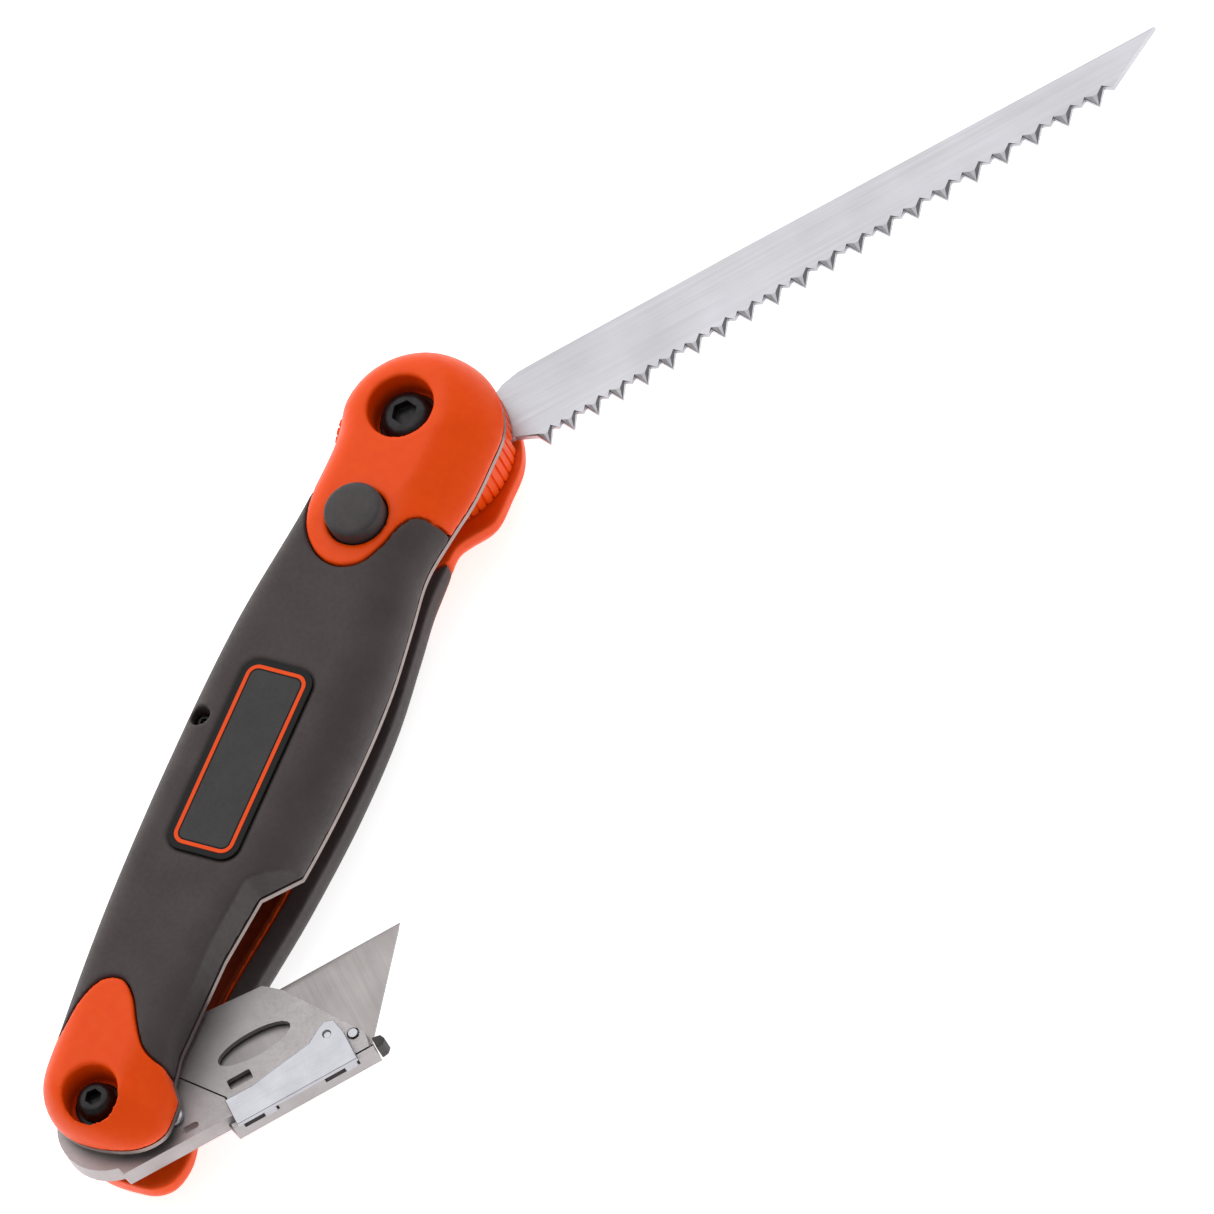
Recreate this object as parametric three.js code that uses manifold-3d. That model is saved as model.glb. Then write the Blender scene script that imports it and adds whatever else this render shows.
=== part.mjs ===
// Folding two-in-one drywall saw: a jab saw with a push-button pivot lock at one end of the
// handle and a flip-out utility knife at the other end.
//
// Millimetres. X runs along the handle from the knife pivot to the saw pivot, Y points to the
// closed back of the handle, Z points out of the front face. The origin is the middle of the
// flat rear face that the folded tool lies on. The shapes below are drawn about the middle
// plane of the blade space, and the whole assembly is lifted by half its thickness.
import * as THREE from "three";
import { mergeVertices } from "three/addons/utils/BufferGeometryUtils.js";
import Module from "manifold-3d";

const wasm = await Module();
wasm.setup();

// ---------------------------------------------------------------- driving dimensions
const pivotSpan = 130;            // saw pivot to knife pivot
const halfThickness = 14;         // middle plane to the outer flat of either half
const linerGap = 8.4;             // blade space between the front liner and the rear shell
const linerThickness = 1;
const fitGap = 0.3;               // gap between pieces that touch or rest on each other
const runGap = 0.3;               // gap beside a pin or shaft that turns
const thrustWasher = 0.5;         // thickness of the saw's thrust washers

const headRadius = 13.9;          // round head of the handle
const backHeight = 14.2;          // pivot line to the back of the handle, at its middle
const slotDepth = 16.6;           // pivot line to the slot side, at its middle
const rearSetback = 2.7;          // slot side of the rear half, behind the front half's
const capReach = 6.2;             // knife pivot to the end of the front half
const rearCapReach = 7.2;         // the same on the rear half, beside the folded blade's tip
const backRound = 5.5;            // width of the rounded edge along the back
const slotRound = 8.5;            // width of the rounded edge along the slot
const coreInset = 1.6;            // rubber thickness over the side of the front shell's core
const rearCoreInset = 3.6;        // the same on the rear shell, where the rubber laps inside
const coreTop = 9.5;              // outer face of the core under the rubber
const recessFloor = 7.5;          // floor of the pivot recesses

const sawReach = 138;             // saw pivot to blade tip
const sawRestAngle = -42.8;       // degrees from +X, as opened for cutting
const sawFoldAngle = -178.3;      // degrees from +X, folded beside the knife pivot
const bladeBack = 5.3;            // saw pivot line to the blade's back edge
const toothLineStart = 10;        // saw pivot line to the first tooth tip
const toothLineEnd = 3;           // saw pivot line to the last tooth tip
const toothStart = 18.4;          // saw pivot to the first tooth
const toothCount = 21;
const pitchFirst = 4.55;
const pitchLast = 6;
const bladeThickness = 1.2;
const hubRadius = 14.5;
const hubRibs = 56;
const hubTangRadius = 11.5;
const sawShaftRadius = 3;
const sawRecessRadius = 5.7;

const knifeRestAngle = -42;       // degrees from +X, part way out
const knifeShaftRadius = 2;
const knifeRecessRadius = 4.8;
const tangRadius = 9;
const knifeClearance = 0.6;       // between the folded saw blade and the knife
const carrierPlate = 1.5;         // thickness of the carrier's rear plate
const coverThickness = 1.1;
const latchThickness = 1;
const utilityThickness = 0.65;    // standard utility blade
const utilityHeight = 19;         // standard utility blade
const utilityReach = 56.8;        // knife pivot to the utility blade's point
const spineOuter = 12.8;          // knife pivot line to the outside of the channel

const buttonRadius = 5;
const buttonOffset = 20.8;        // saw pivot to the lock button
const buttonSide = -1.2;
const buttonHeight = 3;           // how far the button stands out of the front face
const buttonTravel = 2.3;
const plungerRadius = 2.6;
const bodyScrewX = 3.5;
const bodyScrewY = 10.2;
const bodyScrewRadius = 0.85;

const badgeLength = 36;
const badgeWidth = 13.2;
const badgeCenter = [-2.5, -0.3];
const badgeProud = 0.35;

// ---------------------------------------------------------------- derived places
const sawX = pivotSpan / 2;
const knifeX = -pivotSpan / 2;
const linerInner = linerGap / 2;
const linerOuter = linerInner + linerThickness;
const shellInner = linerOuter + fitGap;
const wallTop = shellInner + 1;
const bladeBottom = -linerInner + thrustWasher + 2 * fitGap;
const bladeTop = bladeBottom + bladeThickness;
const hubTop = linerInner - thrustWasher - 2 * fitGap;
const knifeBottom = bladeTop + knifeClearance;
const buttonX = sawX - buttonOffset;
const bladeSlotZ = knifeBottom + carrierPlate + fitGap;
const coverBottom = bladeSlotZ + utilityThickness + fitGap;
const coverTop = coverBottom + coverThickness;
const latchBottom = coverTop + fitGap;
const latchTop = latchBottom + latchThickness;

// ---------------------------------------------------------------- finishes
const finish = (color, metalness, roughness) =>
  new THREE.MeshStandardMaterial({ color, metalness, roughness });
const orangePlastic = finish(0xf0521e, 0, 0.45);
const gripRubber = finish(0x4a4342, 0, 0.8);
const brightSteel = finish(0xc9cace, 0.9, 0.35);
const knifeSteel = finish(0xb8b3b1, 0.9, 0.45);
const blackSteel = finish(0x1b1a1c, 0.6, 0.45);
const darkPlastic = finish(0x2c2829, 0, 0.6);
const nylon = finish(0xd9d6cc, 0, 0.6);

// ---------------------------------------------------------------- solid helpers
function toSolid(geometry) {
  const bare = geometry.index ? geometry.clone() : geometry;
  bare.deleteAttribute("normal");
  bare.deleteAttribute("uv");
  const merged = mergeVertices(bare, 1e-4);
  const vertProperties = new Float32Array(merged.attributes.position.array);
  const triVerts = new Uint32Array(merged.index.array);
  return new wasm.Manifold(new wasm.Mesh({ numProp: 3, vertProperties, triVerts }));
}

function toGeometry(solid) {
  const mesh = solid.getMesh();
  const geometry = new THREE.BufferGeometry();
  geometry.setAttribute("position", new THREE.BufferAttribute(mesh.vertProperties, 3));
  geometry.setIndex(new THREE.BufferAttribute(mesh.triVerts, 1));
  geometry.computeVertexNormals();
  return geometry;
}

const shapeFrom = (points) => new THREE.Shape(points.map(([x, y]) => new THREE.Vector2(x, y)));

function plate(points, bottom, top) {
  const options = { depth: top - bottom, bevelEnabled: false };
  return toSolid(new THREE.ExtrudeGeometry(shapeFrom(points), options).translate(0, 0, bottom));
}

function disc(radius, bottom, top, x = 0, y = 0, sides = 24) {
  const geometry = new THREE.CylinderGeometry(radius, radius, top - bottom, sides);
  return toSolid(geometry.rotateX(Math.PI / 2).translate(x, y, (top + bottom) / 2));
}

function block(x0, x1, y0, y1, z0, z1) {
  const geometry = new THREE.BoxGeometry(x1 - x0, y1 - y0, z1 - z0);
  return toSolid(geometry.translate((x0 + x1) / 2, (y0 + y1) / 2, (z0 + z1) / 2));
}

function lathe(profile, x, y, sides = 24) {
  const points = profile.map(([radius, height]) => new THREE.Vector2(radius, height));
  const geometry = new THREE.LatheGeometry(points, sides);
  return toSolid(geometry.rotateX(Math.PI / 2).translate(x, y, 0));
}

function mirrorZ(geometry) {
  const mirrored = geometry.clone().scale(1, 1, -1);
  const index = mirrored.index.array;
  for (let i = 0; i < index.length; i += 3) {
    [index[i], index[i + 1]] = [index[i + 1], index[i]];
  }
  return mirrored;
}

const polar = (x, y, radius, degrees) => {
  const angle = THREE.MathUtils.degToRad(degrees);
  return [x + radius * Math.cos(angle), y + radius * Math.sin(angle)];
};

function roundedBox(length, width, corner, x, y) {
  const points = [];
  const corners = [[1, 1, 0], [-1, 1, 90], [-1, -1, 180], [1, -1, 270]];
  for (const [sx, sy, start] of corners) {
    const cx = x + sx * (length / 2 - corner);
    const cy = y + sy * (width / 2 - corner);
    for (let step = 0; step <= 4; step++) {
      points.push(polar(cx, cy, corner, start + step * 22.5));
    }
  }
  return points;
}

// ---------------------------------------------------------------- handle outline
function smoothLoop(points, samples) {
  const knots = points.map(([x, y]) => new THREE.Vector3(x, y, 0));
  const curve = new THREE.CatmullRomCurve3(knots, true, "centripetal");
  return curve.getSpacedPoints(samples).slice(0, samples).map((p) => [p.x, p.y]);
}

function smoothPath(points, samples) {
  const knots = points.map(([x, y]) => new THREE.Vector3(x, y, 0));
  const curve = new THREE.CatmullRomCurve3(knots, false, "centripetal");
  return curve.getSpacedPoints(samples).map((p) => [p.x, p.y]);
}

// The slot side from the cap to the head. The rear half is set back behind its head.
function slotLine(setback) {
  const line = [
    [knifeX + 12, -11.2 + setback * 0.4],
    [-36, -12.4 + setback * 0.7],
    [-17, -slotDepth + 1.2 + setback],
    [2, -slotDepth + setback],
    [18, -slotDepth + 0.3 + setback],
    [sawX - 34, -slotDepth + 1.9 + setback],
    [sawX - 25, -slotDepth + 3.1 + setback],
  ];
  if (setback > 0) {
    const step = [[sawX - 18.5, -10.8], [sawX - 14.5, -11], [sawX - 11.8, -12.8], [sawX - 8.5, -15.4]];
    return [...line, ...step];
  }
  return [...line, [sawX - 17, -slotDepth + 2.2], [sawX - 10, -slotDepth + 1.1]];
}

// Round the end from the back to the slot side. The rear half reaches beside the folded tip.
function capLine(setback) {
  if (setback > 0) {
    const end = knifeX - rearCapReach;
    return [
      [knifeX, 10.6], [end + 3.2, 7.4], [end + 0.9, 2], [end + 0.1, -4.5], [end + 0.3, -8.6],
      [end + 2.2, -11.4], [knifeX - 0.5, -12.6], [knifeX + 5, -11.6],
    ];
  }
  const end = knifeX - capReach;
  return [
    [knifeX, 10.6], [end + 2.1, 7.6], [end, 3], [end, -3.5], [end + 1.8, -8.9],
    [end + 5.2, -11.9], [knifeX + 4, -11.9],
  ];
}

// Counter-clockwise from the slot side of the head, round the head, along the back to the
// cap, and along the slot side again.
function handleOutline(samples, setback = 0) {
  const headX = sawX - 0.7;
  const headY = -2;
  const head = [];
  for (let degrees = -100; degrees <= 115; degrees += 215 / 8) {
    head.push(polar(headX, headY, headRadius, degrees));
  }
  const back = [
    [sawX - 19, backHeight - 3.4],
    [22, backHeight - 0.7],
    [-5, backHeight],
    [-32, backHeight - 0.6],
    [knifeX + 11, backHeight - 2.3],
  ];
  return smoothLoop([...head, ...back, ...capLine(setback), ...slotLine(setback)], samples);
}

// The point of the handle's middle line that lies nearest to an outline point.
function spinePoint([x]) {
  const left = knifeX + 4;
  const right = sawX - 3;
  return [THREE.MathUtils.clamp(x, left, right), -2];
}

function insetPoint(point, amount) {
  const [sx, sy] = spinePoint(point);
  const reach = Math.hypot(sx - point[0], sy - point[1]);
  const share = amount / reach;
  return [point[0] + (sx - point[0]) * share, point[1] + (sy - point[1]) * share];
}

function roundWidth(point) {
  const [sx, sy] = spinePoint(point);
  const reach = Math.hypot(point[0] - sx, point[1] - sy);
  const towardBack = (point[1] - sy) / reach;
  return THREE.MathUtils.lerp(slotRound, backRound, 0.5 + 0.5 * towardBack);
}

// One half of the handle as a solid: straight wall, then a rounded edge up to the flat face.
function halfForm(innerFace, setback) {
  const outline = handleOutline(60, setback);
  const rings = [outline.map((p) => [...p, innerFace])];
  const rise = halfThickness - wallTop;
  for (const degrees of [0, 28, 56, 90]) {
    const angle = THREE.MathUtils.degToRad(degrees);
    const height = wallTop + rise * Math.sin(angle);
    rings.push(outline.map((p) => [
      ...insetPoint(p, roundWidth(p) * (1 - Math.cos(angle))), height,
    ]));
  }
  return toSolid(ringSolid(rings));
}

// A closed solid through a stack of rings, with flat ends.
function ringSolid(rings) {
  const count = rings[0].length;
  const positions = rings.flat(2);
  const index = [];
  for (let ring = 0; ring < rings.length - 1; ring++) {
    for (let i = 0; i < count; i++) {
      const a = ring * count + i;
      const b = ring * count + ((i + 1) % count);
      index.push(a, b, b + count, a, b + count, a + count);
    }
  }
  const flat = (ring) => ring.map(([x, y]) => new THREE.Vector2(x, y));
  const last = (rings.length - 1) * count;
  for (const [a, b, c] of THREE.ShapeUtils.triangulateShape(flat(rings[0]), [])) {
    index.push(a, c, b);
  }
  for (const [a, b, c] of THREE.ShapeUtils.triangulateShape(flat(rings.at(-1)), [])) {
    index.push(last + a, last + b, last + c);
  }
  const geometry = new THREE.BufferGeometry();
  geometry.setAttribute("position", new THREE.Float32BufferAttribute(positions, 3));
  geometry.setIndex(index);
  return geometry;
}

// ---------------------------------------------------------------- where rubber meets plastic
const headSeam = smoothPath([
  [sawX - 13, 30], [sawX - 15, 15], [sawX - 16.5, 10], [sawX - 21.5, 8.2], [sawX - 26, 6],
  [sawX - 29.2, 2.5], [sawX - 30.1, -1.5], [sawX - 28.5, -5.2], [sawX - 24.5, -7.4],
  [sawX - 20.2, -8.6], [sawX - 17.7, -10.3], [sawX - 17, -13], [sawX - 17.4, -18],
  [sawX - 18, -30],
], 26);
const capSeam = smoothPath([
  [knifeX + 5, 30], [knifeX + 6, 14], [knifeX + 8.5, 10.4], [knifeX + 15, 8.6],
  [knifeX + 19.5, 6.2], [knifeX + 20.4, 3], [knifeX + 18, 0], [knifeX + 13.5, -2.8],
  [knifeX + 9.6, -5.8], [knifeX + 8.6, -9], [knifeX + 8.4, -14], [knifeX + 8.4, -30],
], 24);

function shiftPath(path, amount) {
  return path.map((point, i) => {
    const before = path[Math.max(i - 1, 0)];
    const after = path[Math.min(i + 1, path.length - 1)];
    const dx = after[0] - before[0];
    const dy = after[1] - before[1];
    const length = Math.hypot(dx, dy);
    return [point[0] - (dy / length) * amount, point[1] + (dx / length) * amount];
  });
}

// Both seams run from the back to the slot side, so +X lies to the left of their direction.
const seamGap = fitGap / 2;
const headRegion = [...shiftPath(headSeam, seamGap), [140, -30], [140, 30]];
const capRegion = [...shiftPath(capSeam, -seamGap), [-140, -30], [-140, 30]].reverse();
const gripRegion = [
  ...shiftPath(capSeam, seamGap),
  ...shiftPath(headSeam, -seamGap).reverse(),
];

// The front half is cut back here so that a thumb reaches the knife. The margin widens it.
function notchOutline(margin) {
  return [
    [-16.5 + margin, -30], [-16.5 + margin, -slotDepth + 1.3 + margin / 2],
    [-22 + margin / 2, -9.8 + margin], [-34, -8.5 + margin], [knifeX + 13, -8.4 + margin],
    [knifeX + 8 - margin / 2, -9.4 + margin], [knifeX + 4 - margin, -12.6],
    [knifeX + 4 - margin, -30],
  ].reverse();
}

const thumbNotch = notchOutline(0);

// ---------------------------------------------------------------- handle halves
const insetOutline = (inset, setback) =>
  handleOutline(44, setback).map((point) => insetPoint(point, inset));

// The plastic under the rubber, which also wraps the front half's notch and the rear slot edge.
const frontCore = (gap, bottom, top) =>
  plate(insetOutline(coreInset + gap, 0), bottom, top)
    .subtract(plate(notchOutline(coreInset + gap), bottom - 1, top + 1));

const rearCore = (gap, bottom, top) =>
  plate(insetOutline(rearCoreInset + gap, rearSetback), bottom, top);

// The rubber: the middle of the form, hollowed to fit over the core.
function gripSolid(innerFace, setback, core) {
  return halfForm(innerFace, setback)
    .intersect(plate(gripRegion, 0, halfThickness + 1))
    .subtract(core(0, 0, coreTop + fitGap));
}

// The plastic: head and cap at full height, joined by the core under the rubber.
function shellSolid(innerFace, setback, core) {
  const head = plate(headRegion, 0, halfThickness + 1);
  const cap = plate(capRegion, 0, halfThickness + 1);
  return halfForm(innerFace, setback)
    .intersect(head.add(cap))
    .add(core(fitGap, innerFace, coreTop));
}

// The rear core is moulded hollow between the pivots, open to the blade space.
const rearHollow = () =>
  plate(insetOutline(rearCoreInset + 1.4, rearSetback), 0, coreTop - 1.6)
    .intersect(block(knifeX + 13, sawX - 20, -30, 30, 0, coreTop));

function pivotRecess(x, shaftRadius, recessRadius) {
  const bore = disc(shaftRadius + runGap, 0, halfThickness + 1, x);
  return bore.add(disc(recessRadius, recessFloor, halfThickness + 1, x));
}

const bothRecesses = () =>
  pivotRecess(sawX, sawShaftRadius, sawRecessRadius)
    .add(pivotRecess(knifeX, knifeShaftRadius, knifeRecessRadius));

const screwHeadRadius = bodyScrewRadius + 0.7;
const bossRadius = screwHeadRadius + 0.8;
const screwBoss = (radius) => disc(radius, linerInner, coreTop, bodyScrewX, bodyScrewY);
const screwClearance = () => disc(bodyScrewRadius + fitGap, -20, 20, bodyScrewX, bodyScrewY, 20);
const screwWell = () =>
  disc(screwHeadRadius + fitGap, coreTop - 1, halfThickness + 1, bodyScrewX, bodyScrewY, 20);

const leafRoot = -22;
const leafTip = knifeX + 12;
const leafLow = -6;
const leafHigh = -2;
const leafRelief = () =>
  block(leafTip - 1, leafRoot + 1, leafLow - 0.7, leafHigh + 0.7, 0, shellInner + 2.3);

function buttonWell() {
  const floor = shellInner + 1;
  const well = disc(buttonRadius + runGap, floor, halfThickness + 1, buttonX, buttonSide, 32);
  return well.add(disc(plungerRadius + runGap, 0, floor + 1, buttonX, buttonSide));
}

function frontShell() {
  return shellSolid(shellInner, 0, frontCore)
    .subtract(plate(thumbNotch, 0, halfThickness + 1))
    .subtract(bothRecesses())
    .subtract(buttonWell())
    .subtract(screwClearance())
    .subtract(leafRelief());
}

function frontGrip() {
  const badgePocket = roundedBox(
    badgeLength + 2 * fitGap, badgeWidth + 2 * fitGap, 3 + fitGap, ...badgeCenter);
  return gripSolid(shellInner, 0, frontCore)
    .subtract(plate(thumbNotch, 0, halfThickness + 1))
    .subtract(screwWell())
    .subtract(plate(badgePocket, halfThickness - 0.6, halfThickness + 1));
}

function rearShell() {
  return shellSolid(linerInner, rearSetback, rearCore)
    .subtract(rearHollow())
    .add(screwBoss(bossRadius))
    .subtract(bothRecesses())
    .subtract(screwClearance());
}

function rearGrip() {
  return gripSolid(linerInner, rearSetback, rearCore)
    .subtract(screwBoss(bossRadius + fitGap))
    .subtract(screwWell());
}

// ---------------------------------------------------------------- liner and spacer
function frontLiner() {
  const window = block(
    leafTip - fitGap, leafRoot + fitGap, leafLow - fitGap, leafHigh + fitGap, 0, 20);
  return plate(handleOutline(60), linerInner, linerOuter)
    .subtract(disc(sawShaftRadius + runGap, -20, 20, sawX))
    .subtract(disc(knifeShaftRadius + runGap, -20, 20, knifeX))
    .subtract(screwClearance())
    .subtract(plate(thumbNotch, 0, 20))
    .subtract(disc(plungerRadius + runGap, 0, 20, buttonX, buttonSide))
    .subtract(window);
}

function lockLeaf() {
  const nose = [
    [leafTip, leafLow], [leafRoot, leafLow], [leafRoot, leafHigh], [leafTip + 3, leafHigh],
    [leafTip, leafHigh - 1.6],
  ];
  return plate(nose, linerInner, linerOuter);
}

function backSpacer() {
  const edge = linerInner - fitGap;
  const outline = insetOutline(0.6, 0);
  const band = plate(outline, -edge, edge).intersect(block(-28, 28, 8.5, 30, -edge, edge));
  return band.subtract(screwClearance());
}

function badgePlate() {
  const outline = roundedBox(badgeLength, badgeWidth, 3, ...badgeCenter);
  return plate(outline, halfThickness - 0.3, halfThickness + badgeProud);
}

// ---------------------------------------------------------------- fasteners
const hexPrism = (circumradius, bottom, top, x, y = 0) =>
  disc(circumradius, bottom, top, x, y, 6);

function pivotBolt(x, shaftRadius, headRadius, seat) {
  const crown = seat + 2.6;
  const tip = -(recessFloor + fitGap + 2.2);
  const profile = [
    [0, tip], [shaftRadius - 0.3, tip], [shaftRadius, tip + 0.3], [shaftRadius, seat],
    [headRadius, seat], [headRadius, seat + 0.9], [headRadius * 0.86, seat + 1.8],
    [headRadius * 0.6, crown], [0, crown],
  ];
  return lathe(profile, x, 0).subtract(hexPrism(shaftRadius * 0.72, crown - 1.5, crown + 1, x));
}

function ringWasher(inner, outer, bottom, top, x) {
  return disc(outer, bottom, top, x, 0, 28).subtract(disc(inner, bottom - 1, top + 1, x));
}

function pivotNut(x, shaftRadius, circumradius) {
  const seat = -(recessFloor + fitGap);
  return hexPrism(circumradius, seat - 3, seat, x)
    .subtract(disc(shaftRadius + fitGap, seat - 4, seat + 1, x, 0, 24));
}

function bodyScrew() {
  const seat = coreTop + fitGap;
  const profile = [
    [0, -seat - 1.4], [bodyScrewRadius, -seat - 1.4], [bodyScrewRadius, seat],
    [screwHeadRadius, seat], [screwHeadRadius, seat + 0.8], [screwHeadRadius - 0.4, seat + 1.2],
    [0, seat + 1.2],
  ];
  return lathe(profile, bodyScrewX, bodyScrewY, 20)
    .subtract(hexPrism(0.7, seat + 0.5, seat + 2, bodyScrewX, bodyScrewY));
}

function bodyNut() {
  const seat = -(coreTop + fitGap);
  const body = disc(screwHeadRadius, seat - 1.8, seat, bodyScrewX, bodyScrewY, 20);
  return body.subtract(
    disc(bodyScrewRadius + fitGap, seat - 3, seat + 1, bodyScrewX, bodyScrewY, 16));
}

// ---------------------------------------------------------------- saw lock
const plungerTop = shellInner + 4.7;

function lockButton() {
  const face = halfThickness + buttonHeight;
  const under = plungerTop + fitGap;
  const profile = [
    [0, under], [buttonRadius, under], [buttonRadius, face - 1], [buttonRadius - 0.35, face - 0.4],
    [buttonRadius - 1.2, face - 0.12], [buttonRadius - 2.6, face], [0, face],
  ];
  return lathe(profile, buttonX, buttonSide, 32);
}

// The lug under the front liner stops half a millimetre short of the notched hub.
function lockPlunger() {
  const bottom = buttonTravel - 0.9;
  const lugTop = linerInner - 0.6;
  const lugEnd = sawX - hubRadius - 0.6;
  const shaft = disc(plungerRadius, bottom, plungerTop, buttonX, buttonSide);
  const lug = block(buttonX, lugEnd, buttonSide - 1.4, buttonSide + 1.4, bottom, lugTop);
  const collar = disc(plungerRadius + 0.9, bottom, lugTop, buttonX, buttonSide);
  return shaft.add(lug).add(collar);
}

class Helix extends THREE.Curve {
  constructor(radius, bottom, top, turns) {
    super();
    Object.assign(this, { radius, bottom, top, turns });
  }

  getPoint(t, target = new THREE.Vector3()) {
    const angle = 2 * Math.PI * this.turns * t;
    const height = this.bottom + (this.top - this.bottom) * t;
    return target.set(this.radius * Math.cos(angle), this.radius * Math.sin(angle), height);
  }
}

function lockSpring() {
  const wire = 0.3;
  const bottom = shellInner + 1 + fitGap + wire;
  const path = new Helix(plungerRadius + 1.1, bottom, plungerTop - wire - 0.1, 3);
  const section = new THREE.Shape();
  section.absarc(0, 0, wire, 0, 2 * Math.PI);
  const options = { extrudePath: path, steps: 30, curveSegments: 2 };
  const coil = new THREE.ExtrudeGeometry(section, options);
  return toSolid(coil.translate(buttonX, buttonSide, 0));
}

// ---------------------------------------------------------------- saw, drawn along +X
const blendBetween = (a, b, share) => a + (b - a) * share;

function toothEdge() {
  const points = [];
  const pitches = [];
  for (let i = 0; i < toothCount - 1; i++) {
    pitches.push(blendBetween(pitchFirst, pitchLast, i / (toothCount - 2)));
  }
  const total = pitches.reduce((sum, pitch) => sum + pitch, 0);
  const line = (s) => -blendBetween(toothLineStart, toothLineEnd, (s - toothStart) / total);
  let s = toothStart;
  for (const pitch of pitches) {
    points.push([s, line(s)]);
    points.push([s + pitch * 0.34, line(s) + 2.7]);
    points.push([s + pitch * 0.56, line(s) + 1.8]);
    points.push([s + pitch * 0.73, line(s + pitch) + 2.35]);
    s += pitch;
  }
  points.push([s, line(s)]);
  return points;
}

function sawBlade() {
  const teeth = toothEdge();
  const [lastX, lastY] = teeth.at(-1);
  const outline = [
    [-6, -5.2], [toothStart - 4.7, -5.8], [toothStart - 1.2, 2.35 - toothLineStart], ...teeth,
    [lastX + 1.5, lastY + 2.7], [lastX + 3.4, lastY + 1.7], [sawReach, bladeBack],
    [60, bladeBack + 0.3], [24, bladeBack], [0, bladeBack],
  ];
  const strip = plate(outline, bladeBottom, bladeTop);
  const tang = disc(hubTangRadius, bladeBottom, bladeTop, 0, 0, 48);
  return cutHub(strip.add(tang));
}

const rivetRadius = 1.4;
const rivetCircle = 9;
const rivetAngles = [80, 200, 320];

function cutHub(solid) {
  let result = solid.subtract(disc(sawShaftRadius + runGap, -20, 20));
  for (const degrees of rivetAngles) {
    const [x, y] = polar(0, 0, rivetCircle, degrees);
    result = result.subtract(disc(rivetRadius + fitGap, -20, 20, x, y, 20));
  }
  return result;
}

// Opening angles that the lock holds, from the cutting position as modelled.
const lockStops = [sawFoldAngle - sawRestAngle, -45, 0, -sawRestAngle];

function hubDisc(bottom) {
  const points = [];
  for (let rib = 0; rib < hubRibs; rib++) {
    const step = 360 / hubRibs;
    const start = rib * step;
    points.push(polar(0, 0, hubRadius, start));
    points.push(polar(0, 0, hubRadius, start + step * 0.7));
    points.push(polar(0, 0, hubRadius - 0.4, start + step * 0.8));
    points.push(polar(0, 0, hubRadius - 0.4, start + step * 0.9));
  }
  return plate(points, bottom, hubTop);
}

// The hub's plate lies on the front of the blade's tang, and its skirt reaches round the tang
// to the rear, open where the blade leaves.
function sawHub() {
  const skirtFloor = -linerInner + fitGap;
  const skirt = hubDisc(skirtFloor)
    .subtract(disc(hubTangRadius + fitGap, -20, 20, 0, 0, 48))
    .subtract(block(0, 20, -6.8, bladeBack + fitGap, -20, bladeTop + fitGap));
  let hub = cutHub(hubDisc(bladeTop + fitGap)).add(skirt);
  const towardButton = 180 - sawRestAngle + THREE.MathUtils.radToDeg(
    Math.atan2(-buttonSide, buttonOffset));
  for (const stop of lockStops) {
    const notch = new THREE.BoxGeometry(4, 3.4, 20)
      .translate(hubRadius, 0, 10)
      .rotateZ(THREE.MathUtils.degToRad(towardButton - stop));
    hub = hub.subtract(toSolid(notch));
  }
  return hub;
}

function hubRivet(degrees) {
  const [x, y] = polar(0, 0, rivetCircle, degrees);
  return disc(rivetRadius, bladeBottom - 0.2, hubTop + 0.2, x, y, 20);
}

// ---------------------------------------------------------------- knife, drawn along +X
const seamTop = [13, 1.5];
const seamLow = [18.7, -6.8];
const coverCorner = [35, 5.8];
const coverPinPlace = [41.8, -8];

function knifeCarrier() {
  const rearPlate = [
    [-1.8, -10.2], [16.8, -10.4], [17.4, -spineOuter], [43.8, -spineOuter], [43.8, -9.2],
    [34.6, 5.2], [31.6, 8], [22, 9.1], [19.2, 9.1], seamTop, [7, 5], [0, tangRadius - 0.5],
    [-6, 5],
  ];
  const neck = [
    [-1.8, -10.2], [16.8, -10.4], [seamLow[0] - fitGap, -10.6], [seamLow[0] - fitGap, seamLow[1]],
    [seamTop[0] - fitGap, seamTop[1]], [7, 5], [0, tangRadius - 0.5], [-6, 5],
  ];
  const wallInner = spineOuter - 0.9;
  const wall = [
    [17.4, -spineOuter], [43.8, -spineOuter], [43.8, -wallInner], [17.4, -wallInner],
  ];
  const tangDisc = disc(tangRadius, knifeBottom, coverTop, 0, 0, 40);
  const slot = roundedBox(3, 1.2, 0.55, 11.2, -8.6);
  const hooks = [[19.2, 25.6], [34.2, 40.6]].map(([from, to]) =>
    block(from, to, -20, -wallInner + 0.2, coverBottom - 0.4, 20));
  return plate(rearPlate, knifeBottom, knifeBottom + carrierPlate)
    .add(plate(neck, knifeBottom, coverTop))
    .add(plate(wall, knifeBottom, coverTop))
    .add(tangDisc)
    .subtract(disc(knifeShaftRadius + runGap, -20, 20))
    .subtract(disc(1.5, coverTop - 2.2, 20, 9.6, -5.6, 20))
    .subtract(plate(slot, -20, 20))
    .subtract(disc(0.8 + fitGap, -20, 20, ...coverPinPlace, 16))
    .subtract(hooks[0])
    .subtract(hooks[1]);
}

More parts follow.
